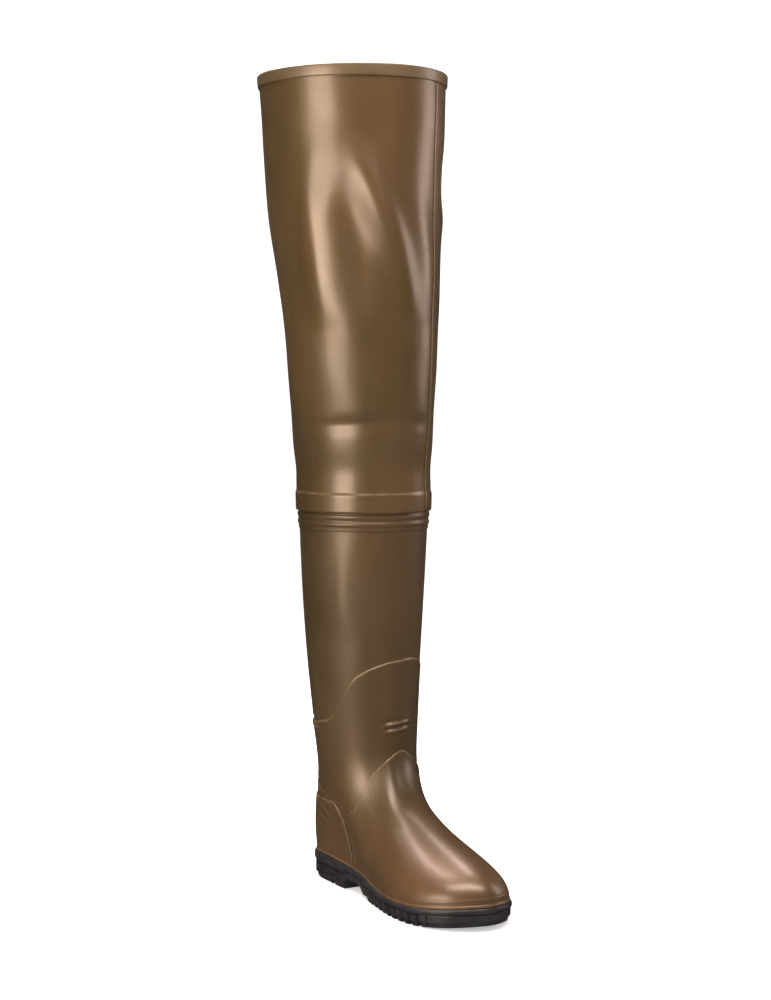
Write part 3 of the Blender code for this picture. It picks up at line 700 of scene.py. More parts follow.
def add_bump(tree, height, strength, distance, under, place):
    """Bump on top of an earlier bump."""
    node = add_node(tree, "ShaderNodeBump", place)
    set_inputs(node, {"Strength": strength, "Distance": distance})
    tree.links.new(height, node.inputs["Height"])
    if under:
        tree.links.new(under, node.inputs["Normal"])
    return node.outputs["Normal"]


# %% Brown rubber
# Pale colour for rubbed edges. It also stands in for the thin highlight lines along edges and crests, so it
# is partly painted highlight.
RUB_AND_HIGHLIGHT_COLOUR = (0.19, 0.135, 0.075)


def brown_rubber(name, dark, middle, light, gloss, wave, coat):
    """Satin olive brown rubber: drifting colour, uneven gloss, a rolled surface, edges painted pale as wear
    and as painted highlight lines.
    """
    made, tree, shader, spots = start_finish(name)
    drift = noise(tree, spots, 7.0, 3.0, (-900, 300), (1.0, 1.0, 0.45))
    colour = ramp(tree, drift, ((0.34, dark), (0.50, middle), (0.70, light)), (-650, 300))
    # The attribute says how much of the pale colour, part wear and part painted highlight, each corner gets.
    rub_and_highlight_node = add_node(tree, "ShaderNodeAttribute", (-900, 550), attribute_name="rub_and_highlight")
    fleck = noise(tree, spots, 160.0, 3.0, (-900, 750))
    amount = add_node(tree, "ShaderNodeMath", (-650, 600), operation="MULTIPLY")
    tree.links.new(rub_and_highlight_node.outputs["Fac"], amount.inputs[0])
    tree.links.new(to_range(tree, fleck, 0.10, 0.95, (-780, 750)), amount.inputs[1])
    mixed = add_node(tree, "ShaderNodeMix", (-350, 350), data_type="RGBA")
    tree.links.new(amount.outputs["Value"], mixed.inputs["Factor"])
    tree.links.new(colour, mixed.inputs["A"])
    mixed.inputs["B"].default_value = (*RUB_AND_HIGHLIGHT_COLOUR, 1)
    tree.links.new(mixed.outputs["Result"], shader.inputs["Base Color"])
    cloud = noise(tree, spots, 22.0, 4.0, (-900, 0))
    uneven = to_range(tree, cloud, gloss - 0.05, gloss + 0.07, (-650, 0))
    tree.links.new(uneven, shader.inputs["Roughness"])
    rolled = noise(tree, spots, 26.0, 2.0, (-900, -300), (1.0, 1.0, 0.30))
    grain = noise(tree, spots, 900.0, 2.0, (-900, -600))
    normal = add_bump(tree, rolled, 0.55, wave, None, (-500, -300))
    normal = add_bump(tree, grain, 0.12, 0.0002, normal, (-300, -400))
    tree.links.new(normal, shader.inputs["Normal"])
    shader.inputs["Specular IOR Level"].default_value = 0.75
    shader.inputs["Specular Tint"].default_value = (1.0, 0.82, 0.64, 1)
    shader.inputs["Coat Weight"].default_value = coat
    shader.inputs["Coat Roughness"].default_value = 0.65 * gloss
    return made


BOOT_RUBBER = brown_rubber(
    "boot rubber", (0.026, 0.0168, 0.0036), (0.040, 0.0240, 0.0066), (0.060, 0.030, 0.0110),
    gloss=0.43, wave=0.0009, coat=0.36,
)
THIGH_RUBBER = brown_rubber(
    "thigh rubber", (0.030, 0.0188, 0.0045), (0.047, 0.0276, 0.0080), (0.070, 0.036, 0.0135),
    gloss=0.38, wave=0.0012, coat=0.5,
)
TRIM_RUBBER = brown_rubber(
    "binding rubber", (0.046, 0.031, 0.013), (0.064, 0.043, 0.019), (0.082, 0.055, 0.027),
    gloss=0.42, wave=0.0004, coat=0.5,
)
print("rubbers:", BOOT_RUBBER.name, THIGH_RUBBER.name, TRIM_RUBBER.name)


# %% Black sole rubber
SOLE_SHADES = ((0.35, (0.009, 0.009, 0.011)), (0.62, (0.016, 0.016, 0.018)), (0.85, (0.036, 0.035, 0.038)))


def sole_rubber():
    """Matt black rubber, a little cool, with a pale dusting from use and a fine mould grain."""
    made, tree, shader, spots = start_finish("sole rubber")
    dust = noise(tree, spots, 45.0, 5.0, (-900, 300))
    colour = ramp(tree, dust, SOLE_SHADES, (-650, 300))
    tree.links.new(colour, shader.inputs["Base Color"])
    cloud = noise(tree, spots, 60.0, 3.0, (-900, 0))
    tree.links.new(to_range(tree, cloud, 0.30, 0.44, (-650, 0)), shader.inputs["Roughness"])
    grain = noise(tree, spots, 700.0, 3.0, (-900, -400))
    tree.links.new(add_bump(tree, grain, 0.25, 0.0003, None, (-400, -400)), shader.inputs["Normal"])
    return made


SOLE_RUBBER = sole_rubber()
print("sole shades:", len(SOLE_SHADES))


# %% Knitted lining and felt
KNIT_SHADES = ((0.0, (0.095, 0.078, 0.056)), (1.0, (0.205, 0.175, 0.135)))
FELT_SHADES = ((0.3, (0.11, 0.105, 0.10)), (0.7, (0.22, 0.21, 0.20)))


def lining_cloth():
    """Knitted cloth that the rubber is laid on, seen inside the boot. The loops follow its UV map."""
    made, tree, shader, spots = start_finish("knit lining")
    coords = tree.nodes["Texture Coordinate"]
    courses = add_node(tree, "ShaderNodeTexWave", (-900, 200), bands_direction="Y")
    wales = add_node(tree, "ShaderNodeTexWave", (-900, -100), bands_direction="X")
    for node, scale in ((courses, 90.0), (wales, 120.0)):
        set_inputs(node, {"Scale": scale, "Distortion": 0.6, "Detail": 1.0})
        tree.links.new(coords.outputs["UV"], node.inputs["Vector"])
    knit = add_node(tree, "ShaderNodeMath", (-650, 50), operation="MULTIPLY")
    tree.links.new(courses.outputs["Fac"], knit.inputs[0])
    tree.links.new(wales.outputs["Fac"], knit.inputs[1])
    loops = knit.outputs["Value"]
    tree.links.new(ramp(tree, loops, KNIT_SHADES, (-450, 200)), shader.inputs["Base Color"])
    tree.links.new(add_bump(tree, loops, 0.5, 0.0006, None, (-400, -200)), shader.inputs["Normal"])
    shader.inputs["Roughness"].default_value = 0.9
    shader.inputs["Sheen Weight"].default_value = 0.3
    return made


def felt():
    """Grey needle felt of the insole."""
    made, tree, shader, spots = start_finish("insole felt")
    hairs = noise(tree, spots, 420.0, 6.0, (-900, 200), (1.0, 3.0, 1.0))
    tree.links.new(ramp(tree, hairs, FELT_SHADES, (-650, 200)), shader.inputs["Base Color"])
    tree.links.new(add_bump(tree, hairs, 0.6, 0.0006, None, (-400, -200)), shader.inputs["Normal"])
    shader.inputs["Roughness"].default_value = 0.95
    return made


LINING = lining_cloth()
FELT = felt()
print("finishes:", len(bpy.data.materials))

# %% [markdown]
# ## Making a piece
# Each piece starts as a flat grid, as a sheet of uncured rubber does. The grid's corners are then
# moved onto the form by a rule that knows how far round and how far up each one is. Where the
# sheet goes all the way round, its two edges are merged. A Solidify modifier gives the wall.
# A piece with a section of its own, like a band, is swept, so the grid is merged both ways.


# %% Sheet helpers
MERGE = 1e-6


def form_sheet(columns, rows, place, closed=True, profile_closed=False):
    """Grid whose corners are moved to place(a, b), with a round the boot and b up it, 0 to 1.

    A fourth value of place says how much paler the corner is painted, as wear and as a painted highlight.
    """
    bm = bmesh.new()
    rub_and_highlight = bm.verts.layers.float.new("rub_and_highlight")
    bm.loops.layers.uv.new("UVMap")
    bmesh.ops.create_grid(bm, x_segments=columns, y_segments=rows, size=0.5, calc_uvs=True)
    flat = np.array([v.co for v in bm.verts]) + 0.5
    a = np.round(flat[:, 0] * columns) / columns
    b = np.round(flat[:, 1] * rows) / rows
    for vert, spot in zip(bm.verts, place(a, b)):
        vert.co = spot[:3]
        vert[rub_and_highlight] = spot[3] if len(spot) > 3 else 0.0
    ends = set()
    if closed:
        ends |= {i for i in range(len(a)) if a[i] in (0.0, 1.0)}
    if profile_closed:
        ends |= {i for i in range(len(b)) if b[i] in (0.0, 1.0)}
    if ends:
        bm.verts.ensure_lookup_table()
        bmesh.ops.remove_doubles(bm, verts=[bm.verts[i] for i in ends], dist=MERGE)
    return bm


def with_rub_and_highlight(spots, rub_and_highlight):
    """Spots with how much paler they are painted beside them, as wear and as a painted highlight."""
    return np.concatenate([spots, np.clip(rub_and_highlight, 0, 1)[:, None]], axis=1)


def face_outwards(bm):
    """Turns the faces of a sheet away from the leg's axis."""
    bmesh.ops.recalc_face_normals(bm, faces=bm.faces)
    bm.faces.ensure_lookup_table()
    face = max(bm.faces, key=lambda f: f.calc_center_median().x)
    if face.normal.x < 0:
        bmesh.ops.reverse_faces(bm, faces=bm.faces)


# %% Piece helpers
def add_piece(name, bm, finishes, node, wall=0.0):
    """Object at the origin that stands for a solid, with a wall inwards if wanted."""
    mesh = bpy.data.meshes.new(name)
    bm.to_mesh(mesh)
    bm.free()
    for finish in finishes:
        mesh.materials.append(finish)
    mesh.shade_smooth()
    made = bpy.data.objects.new(name, mesh)
    bpy.context.scene.collection.objects.link(made)
    if wall:
        solid = made.modifiers.new("wall", "SOLIDIFY")
        solid.thickness = wall
        solid.offset = -1.0
        if len(finishes) > 1:
            solid.material_offset = 1
    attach(made, "root")
    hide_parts(node)
    print(name, "has", len(mesh.polygons), "faces")
    return made


def add_sheet(name, columns, rows, place, finishes, node, wall, closed=True):
    """Piece made from one sheet that faces away from the leg, with its wall behind it."""
    bm = form_sheet(columns, rows, place, closed)
    face_outwards(bm)
    add_piece(name, bm, finishes, node, wall)


def add_swept(name, columns, rows, profile, spot, finish, node):
    """Piece swept round the boot. spot places the (outward, upward) points of a closed profile."""
    loop = np.array([*profile, profile[0]])
    steps = np.linspace(0, 1, len(loop))

    def place(a, b):
        return spot(even_share(a), np.interp(b, steps, loop[:, 0]), np.interp(b, steps, loop[:, 1]))

    bm = form_sheet(columns, rows, place, profile_closed=True)
    bmesh.ops.recalc_face_normals(bm, faces=bm.faces)
    add_piece(name, bm, (finish,), node)


# %% [markdown]
# ## The moulded boot
# The upper is one wall from the sole to under the lap at the knee. A reinforcing layer goes round
# the foot and ankle, and its edge climbs from the heel to the shin as a fine step. The rows of
# the grid are drawn together at that step and over the creases of the ankle, so both stay crisp
# without a fine mesh everywhere. A corner's stage says how far up it is: 0 is the feather line,
# 1 the ankle, 2 to 3 the step, and 4 the top.

# %% Edges of the layers
Edge = namedtuple("Edge", "share height")
VAMP_EDGE = (
    Edge(-0.318, 0.27), Edge(-0.312, 0.36), Edge(-0.298, 0.46), Edge(-0.228, 0.61),
    Edge(-0.158, 0.80), Edge(-0.093, 0.885), Edge(-0.021, 0.945), Edge(0.035, 0.975),
    Edge(0.090, 0.945), Edge(0.155, 0.885), Edge(0.215, 0.80), Edge(0.285, 0.61),
    Edge(0.358, 0.46), Edge(0.372, 0.36), Edge(0.378, 0.27),
)
COUNTER_EDGE = (
    Edge(0.385, 0.47), Edge(0.395, 0.56), Edge(0.440, 0.595), Edge(0.500, 0.60),
    Edge(0.576, 0.59), Edge(0.625, 0.595), Edge(0.662, 0.56), Edge(0.675, 0.47),
)
GUARD_EDGE = (
    Edge(-0.500, 1.14), Edge(-0.343, 1.147), Edge(-0.285, 1.193), Edge(-0.257, 1.272),
    Edge(-0.226, 1.374), Edge(-0.200, 1.453), Edge(-0.160, 1.510), Edge(-0.096, 1.555),
    Edge(0.018, 1.585), Edge(0.110, 1.590), Edge(0.190, 1.555), Edge(0.255, 1.480),
    Edge(0.300, 1.374), Edge(0.335, 1.272), Edge(0.370, 1.193), Edge(0.430, 1.150),
    Edge(0.500, 1.14),
)


def edge_height(edges, share):
    """Height of a layer's edge, whose table counts in ankle heights."""
    return smooth([e.share for e in edges], [e.height * ANKLE_HEIGHT for e in edges], share)


def guard_edge(share):
    """Height of the reinforcing layer's edge."""
    share = np.asarray(share, float)
    return edge_height(GUARD_EDGE, np.where(share > 0.5, share - 1, share))


print("guard edge at the shin:", round(float(guard_edge(0.0)) * 1000), "mm up")


# %% Laying things on the boot
def laid_on(surface, share, way, lift):
    """Points lifted off a surface along its normal, level at the feather line."""
    over = normal_of(surface, share, way)
    if surface is boot_point:
        over = np.where((np.asarray(way) + 0 * share)[..., None] <= 0, feather(share)[1], over)
    return surface(share, way) + over * np.asarray(lift)[..., None]


def on_boot(share, way, lift):
    """Point laid on the boot, with the boot's folds."""
    points = boot_point(share, way)
    folds = fold_lift(points, BOOT_FOLDS, boot_point) + boot_sway(share, way)
    return laid_on(boot_point, share, way, folds + lift)


# %% Upper
BOOT_COLUMNS = 184
BOOT_ROWS = 260
STEP_HALF = 0.0006
# Pale lines at the layer's step and on crease crests: partly wear, partly painted highlight.
RUB_AND_HIGHLIGHT_WIDTH = 0.0009
STEP_RUB_AND_HIGHLIGHT = 0.55
CREASE_RUB_AND_HIGHLIGHT = 0.4
ROW_MARKS = (0.0, 0.40, 0.53, 0.64, 0.644, 0.648, 0.652, 1.0)
ROW_STAGES = (0.0, 1.0, 1.3, 2.0, 2.4, 2.6, 3.0, 4.0)


def place_upper(a, b):
    """Upper with the layer's step in it, painted paler at the step and on the creases, as wear and as painted
    highlight lines.
    """
    share = even_share(a)
    stage = np.interp(b, ROW_MARKS, ROW_STAGES)
    edge = 1 + guard_edge(share) - ANKLE_HEIGHT
    top = 1 + LAP_HEIGHT - ANKLE_HEIGHT
    way = np.clip(stage, 0, 1)
    way = way + (edge - STEP_HALF - 1) * np.clip(stage - 1, 0, 1)
    way = way + 2 * STEP_HALF * np.clip(stage - 2, 0, 1)
    way = way + (top - edge - STEP_HALF) * np.clip(stage - 3, 0, 1)
    thick = GUARD_STEP * (1 - np.clip((stage - 2.2) / 0.6, 0, 1))
    worn_and_highlit = crest_wear_and_highlight(boot_point(share, way), BOOT_FOLDS, boot_point)
    rub_and_highlight = np.maximum(STEP_RUB_AND_HIGHLIGHT * hump(way, edge, RUB_AND_HIGHLIGHT_WIDTH), CREASE_RUB_AND_HIGHLIGHT * worn_and_highlit)
    return with_rub_and_highlight(on_boot(share, way, thick), rub_and_highlight)


add_sheet(
    "moulded_boot", BOOT_COLUMNS, BOOT_ROWS, place_upper, (BOOT_RUBBER, LINING),
    "upper", WALL + GUARD_STEP * 0.5,
)

# %% [markdown]
# ## Vamp cover and heel counter
# Two more layers lie on the foot: one over toes and instep that ends in a rounded point, and one
# round the heel. Each is a sheet between the foxing and its own edge, and its thickness falls off
# in a quarter round at the edge, as a skived rubber edge does.

# %% Layers on the foot
SKIVE = 0.0011
EDGE_ROWS = 5
MID_LIFT = 0.0001
LAYER_WALL = 0.0006
UNDER_FOXING = 0.002


def foxing_top(share):
    """Height of the foxing's upper edge."""
    return feather(share)[0][:, 2] + FOXING_HEIGHT


def gather(t, count, length, reach=SKIVE):
    """Moves an even 0 to 1 spacing so that several rows fall inside the skived edges."""
    tight = np.array([0.0, 0.12, 0.3, 0.6, 1.0]) * reach / length
    knots = np.concatenate([np.arange(EDGE_ROWS), count - np.arange(EDGE_ROWS)[::-1]]) / count
    return np.interp(t, knots, np.concatenate([tight, 1 - tight[::-1]]))


def add_layer(name, edges, columns, rows, node):
    """Layer between the foxing and an edge line, skived at its top and ends."""
    start, end = edges[0].share, edges[-1].share
    line = np.linspace(start, end, 121)
    low = way_at(line, foxing_top(line) - UNDER_FOXING)
    high = way_at(line, edge_height(edges, line))

    def place(a, b):
        share = start + (end - start) * gather(a, columns, 0.30)
        bottom = np.interp(share, line, low)
        top = np.interp(share, line, high)
        span = np.linalg.norm(boot_point(share, top) - boot_point(share, bottom), axis=1)
        way = bottom + (top - bottom) * gather(b, rows, np.maximum(span, 0.012).mean())
        down = np.linalg.norm(boot_point(share, top) - boot_point(share, way), axis=1)
        here = boot_point(share, way)
        aside = np.minimum(
            np.linalg.norm(here - boot_point(start + 0 * share, way), axis=1),
            np.linalg.norm(here - boot_point(end + 0 * share, way), axis=1),
        )
        inside = np.minimum(down, aside)
        depth = np.clip(inside / SKIVE, 0, 1)
        thick = PATCH * np.sqrt(1 - (1 - depth)**2)
        # The skived edge is painted paler, partly as wear and partly as a painted highlight line.
        rub_and_highlight = 0.6 * hump(inside, SKIVE, RUB_AND_HIGHLIGHT_WIDTH)
        return with_rub_and_highlight(on_boot(share, way, GUARD_STEP + MID_LIFT + thick), rub_and_highlight)

    add_sheet(name, columns, rows, place, (BOOT_RUBBER,), node, LAYER_WALL, closed=False)


add_layer("vamp_layer", VAMP_EDGE, 170, 110, "vamp_cover")
add_layer("heel_layer", COUNTER_EDGE, 100, 44, "heel_counter")

# %% [markdown]
# ## Foxing
# A low strip of the same brown rubber runs round the foot and seals the upper to the sole. It has
# a rolled bead at its foot, painted paler as wear and as a painted highlight, that shows as a thin
# pale line above the black sole.

# %% Foxing strip
FOXING_PROFILE = (
    (0.0, 0.0), (0.9, 0.00), (1.25, 0.06), (1.35, 0.16), (1.22, 0.26), (0.85, 0.32),
    (0.80, 0.50), (0.80, 0.74), (0.72, 0.90), (0.50, 0.98), (0.0, 1.0), (0.0, 0.5),
)


def foxing_spot(share, out, up):
    """Point of the foxing, with up from its foot to its top edge and the bead painted paler, as wear and as a
    painted highlight.
    """
    line = even_share(np.linspace(0, 1, 241))
    top = np.interp(share, line, way_at(line, foxing_top(line)))
    # The bead is painted paler, partly as wear and partly as a painted highlight.
    bead_rub_and_highlight = 0.35 * hump(up, 0.16, 0.12) * (out > 1)
    return with_rub_and_highlight(on_boot(share, top * up, GUARD_STEP + MID_LIFT + out * FOXING_DEPTH), bead_rub_and_highlight)


add_swept("foxing_strip", 320, 24, FOXING_PROFILE, foxing_spot, BOOT_RUBBER, "foxing")

# %% [markdown]
# ## The sole
# The sole is moulded in one with two tiers on its side. The upper tier has a lip at its top, and
# short upright ribs at the waist, and the heel has grooves running round it. Underneath, cross
# lugs with cut-back ends stand on a web, and the heel block is parted from them by the arch.
# The tread starts as a grid, its border is extruded up the side, row by row, and the last
# border is drawn in and filled under the foot.

# %% Lugs
Lug = namedtuple("Lug", "start end")
HEEL_LUGS = (Lug(start=-1.0, end=0.073), Lug(start=0.093, end=0.207), Lug(start=0.227, end=0.293))
TREAD_LUGS = (
    Lug(start=0.487, end=0.523),
    Lug(start=0.543, end=0.573),
    Lug(start=0.593, end=0.623),
    Lug(start=0.643, end=0.673),
    Lug(start=0.693, end=0.723),
    Lug(start=0.743, end=0.773),
    Lug(start=0.793, end=0.823),
    Lug(start=0.847, end=2.0),
)
BREAST_TOP = 0.315
ARCH_END = 0.415
ARCH_HEIGHT = 0.42
FOOT_OF_LUG = 0.25
LUG_DRAFT = 0.0022


def tread_depth(along):
    """Depth of the tread at a share of the foot length: 0 on a lug, 1 in a groove."""
    depth = np.ones_like(along)
    for lug in HEEL_LUGS + TREAD_LUGS:
        inside = np.minimum(along - lug.start, lug.end - along) * FOOT_LENGTH
        depth = np.minimum(depth, np.clip(-inside / LUG_DRAFT, 0, 1))
    return depth


# %% Height of the underside
TOE_LUG = 0.875
TOOTH_PITCH = 0.0115
TOOTH_GAP = 0.40
TOOTH_SLOPE = 0.08
LUG_BOW = 0.012
BOW_START = 0.45
BOW_RUN = 0.05
RIM_START = 0.66
RIM_RUN = 0.10


def tooth_gap(length):
    """1 in the gaps between the teeth along the sole's edge, 0 on the teeth."""
    place = (length / TOOTH_PITCH) % 1.0
    return np.clip((TOOTH_GAP / 2 - np.abs(place - 0.5)) / TOOTH_SLOPE, 0, 1)


def tread_height(x, across, length):
    """Height of the underside. across runs from -1 on the outer edge to 1 on the inner one."""
    along = foot_share(x)
    bow = LUG_BOW * (1 - across**2) * np.clip((along - BOW_START) / BOW_RUN, 0, 1)
    depth = tread_depth(along + bow)
    waist = np.clip((along - HEEL_LUGS[-1].end) / (BREAST_TOP - HEEL_LUGS[-1].end), 0, 1)
    waist = waist * np.clip((TREAD_LUGS[0].start - along) / (TREAD_LUGS[0].start - ARCH_END), 0, 1)
    rim = np.clip((np.abs(across) - RIM_START) / RIM_RUN, 0, 1)
    fore = (along > TREAD_LUGS[0].start + 0.01) & (along < TOE_LUG)
    depth = np.where(fore & (rim > 0), np.maximum(depth * (1 - rim), rim * tooth_gap(length)), depth)
    arch = HEEL_STACK * ARCH_HEIGHT * waist
    return ground_height(x) + np.where(waist > 0, arch, LUG_DEPTH * depth)


some_x = np.linspace(0, 0.25, 400)
print("deepest tread:", round(float(tread_height(some_x, 0 * some_x, some_x).max()) * 1000, 1), "mm")


# %% Outline of the sole
SIDE_STEPS = 4320
TIP_CROWDING = 0.115


def sole_sides():
    """Feather points and outward directions along both sides, from the heel tip to the toe tip."""
    foot, out = feather(np.linspace(0, 1, SIDE_STEPS + 1))
    toe = int(np.argmax(foot[:SIDE_STEPS // 2, 0]))
    heel = int(np.argmin(foot[:, 0]))
    inner = slice(toe, heel + 1)
    outer = slice(heel, SIDE_STEPS + 1)
    back = (foot[inner][::-1], out[inner][::-1])
    fore = (np.concatenate([foot[outer], foot[1:toe + 1]]), np.concatenate([out[outer], out[1:toe + 1]]))
    return fore, back


OUTER_SIDE, INNER_SIDE = sole_sides()


def side_at(side, t):
    """Point, direction and length along a side at t from heel tip to toe tip, denser at the tips."""
    foot, out = side
    low, high = foot[0, 0], foot[-1, 0]
    x = low + (high - low) * (t - TIP_CROWDING * np.sin(2 * np.pi * t))
    order = np.maximum.accumulate(foot[:, 0]) + np.arange(len(foot)) * 1e-12
    index = np.interp(x, order, np.arange(len(foot)))
    point = np.stack([np.interp(index, np.arange(len(foot)), foot[:, k]) for k in range(3)], -1)
    way = np.stack([np.interp(index, np.arange(len(out)), out[:, k]) for k in range(3)], -1)
    steps = np.linalg.norm(np.diff(foot, axis=0), axis=1)
    length = np.interp(index, np.arange(len(foot)), np.concatenate([[0.0], np.cumsum(steps)]))
    return point, way / np.linalg.norm(way, axis=-1, keepdims=True), length


print("sole from", round(float(OUTER_SIDE[0][0, 0]), 3), "to", round(float(OUTER_SIDE[0][-1, 0]), 3), "m")

# %% Rows up the side
SideRow = namedtuple("SideRow", "margin drop rib groove tooth", defaults=(0, 0, 0))
HEEL_GROOVES = (0.86, 0.70, 0.54)
GROOVE_HALF = 0.045
GROOVE_SECTION = ((1, 0), (1 / 3, 1), (-1 / 3, 1), (-1, 0))
LOWER_TIER = 0.92
UPPER_TIER = 1.16
ROWS_ABOVE = (
    SideRow(0.88, 0.470), SideRow(0.66, 0.445), SideRow(0.66, 0.400), SideRow(0.90, 0.375),
    SideRow(UPPER_TIER, 0.345), SideRow(1.20, 0.28), SideRow(1.20, 0.12), SideRow(1.12, 0.04),
    SideRow(0.95, 0.0),
)


def side_rows():
    """Rows of the sole's side from the lugs up. Heel grooves and teeth share the lower tier."""
    rows = [SideRow(0.62, 1.0, tooth=1), SideRow(LOWER_TIER, 0.97, tooth=1)]
    for at in HEEL_GROOVES:
        for away, groove in GROOVE_SECTION:
            rows.append(SideRow(LOWER_TIER, at + away * GROOVE_HALF, rib=1, groove=groove, tooth=1))
    return rows + list(ROWS_ABOVE)


RIB_PITCH = 0.0046
RIB_DEPTH = 0.0011
RIB_MIDDLE = 0.47
RIB_REACH = 0.10
GROOVE_DEPTH = 0.0016
GROOVE_END = 0.285
TOOTH_CUT = 0.0024


def side_spots(base, out, length, row):
    """Points of the sole's side over border points of the tread."""
    along = foot_share(base[:, 0])
    top = seat_height(base[:, 0]) - GAP
    low = ground_height(base[:, 0]) + LUG_DEPTH
    arched = (along > HEEL_LUGS[-1].end) & (along < TREAD_LUGS[0].start)
    low = np.where(arched, np.maximum(low, tread_height(base[:, 0], 0 * along, length)), low)
    waist = np.exp(-((along - RIB_MIDDLE) / RIB_REACH)**4)
    heel = 1 / (1 + np.exp((along - GROOVE_END) / 0.010))
    wave = np.clip(0.5 + 1.2 * np.cos(2 * np.pi * length / RIB_PITCH), 0, 1)
    fore = np.clip((along - TREAD_LUGS[0].start) / 0.02, 0, 1) * np.clip((TOE_LUG - along) / 0.004, 0, 1)
    cut = row.rib * waist * RIB_DEPTH * wave + row.groove * heel * GROOVE_DEPTH
    cut = cut + row.tooth * fore * tooth_gap(length) * TOOTH_CUT
    spots = base + out * (row.margin * SOLE_MARGIN - cut)[:, None]
    spots[:, 2] = top - row.drop * (top - low)
    return spots


print("rows up the side:", len(side_rows()))

# %% Sole body
SOLE_RUNGS = 640
TREAD_CELLS = 24
INNER_DRAW = 0.006


def sole_mesh():
    """Tread grid, its border extruded row by row up the side, then drawn in and closed."""
    bm = bmesh.new()
    bm.loops.layers.uv.new("UVMap")
    home = bm.verts.layers.int.new("home")
    bmesh.ops.create_grid(bm, x_segments=SOLE_RUNGS, y_segments=TREAD_CELLS, size=0.5, calc_uvs=True)
    flat = np.array([v.co for v in bm.verts]) + 0.5
    t = np.clip(flat[:, 0], 0, 1)
    across = np.clip(flat[:, 1], 0, 1) * 2 - 1
    outer, outer_way, outer_length = side_at(OUTER_SIDE, t)
    inner, inner_way, inner_length = side_at(INNER_SIDE, t)
    foot = FOOT_OF_LUG * SOLE_MARGIN
    mix = (across * 0.5 + 0.5)[:, None]
    ground = (outer + outer_way * foot) * (1 - mix) + (inner + inner_way * foot) * mix
    length = np.where(across < 0, outer_length, inner_length)
    ground[:, 2] = tread_height(ground[:, 0], across, length)
    for index, (vert, spot) in enumerate(zip(bm.verts, ground)):
        vert.co = spot
        vert[home] = index
    base = np.where(across[:, None] < 0, outer, inner)
    out = np.where(across[:, None] < 0, outer_way, inner_way)
    bmesh.ops.remove_doubles(bm, verts=bm.verts, dist=MERGE)
    border = [e for e in bm.edges if e.is_boundary]
    for row in side_rows():
        made = bmesh.ops.extrude_edge_only(bm, edges=border)
        fresh = [g for g in made["geom"] if isinstance(g, bmesh.types.BMVert)]
        at = np.array([v[home] for v in fresh])
        for vert, spot in zip(fresh, side_spots(base[at], out[at], length[at], row)):
            vert.co = spot
        border = [g for g in made["geom"] if isinstance(g, bmesh.types.BMEdge) and g.is_boundary]
    made = bmesh.ops.extrude_edge_only(bm, edges=border)
    for vert in [g for g in made["geom"] if isinstance(g, bmesh.types.BMVert)]:
        vert.co -= Vector(out[vert[home]]) * (INNER_DRAW + 0.95 * SOLE_MARGIN)
    inside = [g for g in made["geom"] if isinstance(g, bmesh.types.BMEdge) and g.is_boundary]
    bmesh.ops.contextual_create(bm, geom=inside)
    bmesh.ops.recalc_face_normals(bm, faces=bm.faces)
    return bm


sole = add_piece("sole_body", sole_mesh(), (SOLE_RUBBER,), "outsole")
sole.data.set_sharp_from_angle(angle=math.radians(40))

# %% [markdown]
# ## Insole
# A plain felt board lies on the sole. It is seen only down the leg, so a thin grid with a slight
# dish is enough, thickened by Solidify.

# %% Insole board
DISH = 0.0006


def place_insole(a, b):
    """Board between the two sides of the sole, dished along its middle."""
    outer, outer_way, _ = side_at(OUTER_SIDE, a)
    inner, inner_way, _ = side_at(INNER_SIDE, a)
    inset = WALL + 3 * GAP
    left = outer - outer_way * inset
    right = inner - inner_way * inset
    board = left * (1 - b)[:, None] + right * b[:, None]
    dish = DISH * (1 - (2 * b - 1)**2)
    board[:, 2] = seat_height(board[:, 0]) + GAP + INSOLE_DEPTH - dish
    return board


bm = form_sheet(120, 30, place_insole, closed=False)
bmesh.ops.remove_doubles(bm, verts=bm.verts, dist=MERGE)
for face in bm.faces:
    if face.normal.z < 0:
        face.normal_flip()
add_piece("insole_board", bm, (FELT,), "insole", INSOLE_DEPTH - 0.0008)

# %% [markdown]
# ## Knee band
# Under the lap a band with two round ribs goes round the leg. Its profile is a closed loop, swept
# round the same columns as the boot.

# %% Ribbed band
BAND_LIFT = 0.0002
BAND_PROFILE = (
    (0.0, 0.0), (0.45, 0.0), (0.62, 0.05), (0.66, 0.20), (0.80, 0.25), (1.35, 0.29),
    (1.62, 0.34), (1.68, 0.38), (1.62, 0.42), (1.35, 0.47), (0.82, 0.52), (0.70, 0.57),
    (0.82, 0.63), (1.35, 0.68), (1.62, 0.73), (1.68, 0.78), (1.62, 0.83), (1.35, 0.88),
    (0.80, 0.93), (0.62, 0.98), (0.45, 1.0), (0.0, 1.0), (0.0, 0.75), (0.0, 0.25),
)


def band_spot(share, out, up):
    """Point of the band, with out in millimetres off the boot and up from its lower edge."""
    start = LAP_SEAM - GAP - BAND_RISE - ANKLE_HEIGHT + 1
    return on_boot(share, start + up * BAND_RISE, BAND_LIFT + out / 1000)


add_swept("ribbed_band", 200, 48, BAND_PROFILE, band_spot, BOOT_RUBBER, "knee_band")

# %% [markdown]
# ## Thigh piece
# The thigh piece is the thin tube with the big soft folds. It is one sheet with the folds and the
# slow sway lifted along its normal, and both die out at the lap and at the binding, which hold it.

# %% Thigh tube
CUFF_TOP = 0.4075
CUFF_PROUD = 0.0012
WAIST_DEPTH = 0.0012
WAIST_HEIGHT = 0.432
HEM_DEPTH = 0.0005
HEM_RISE = 0.0012


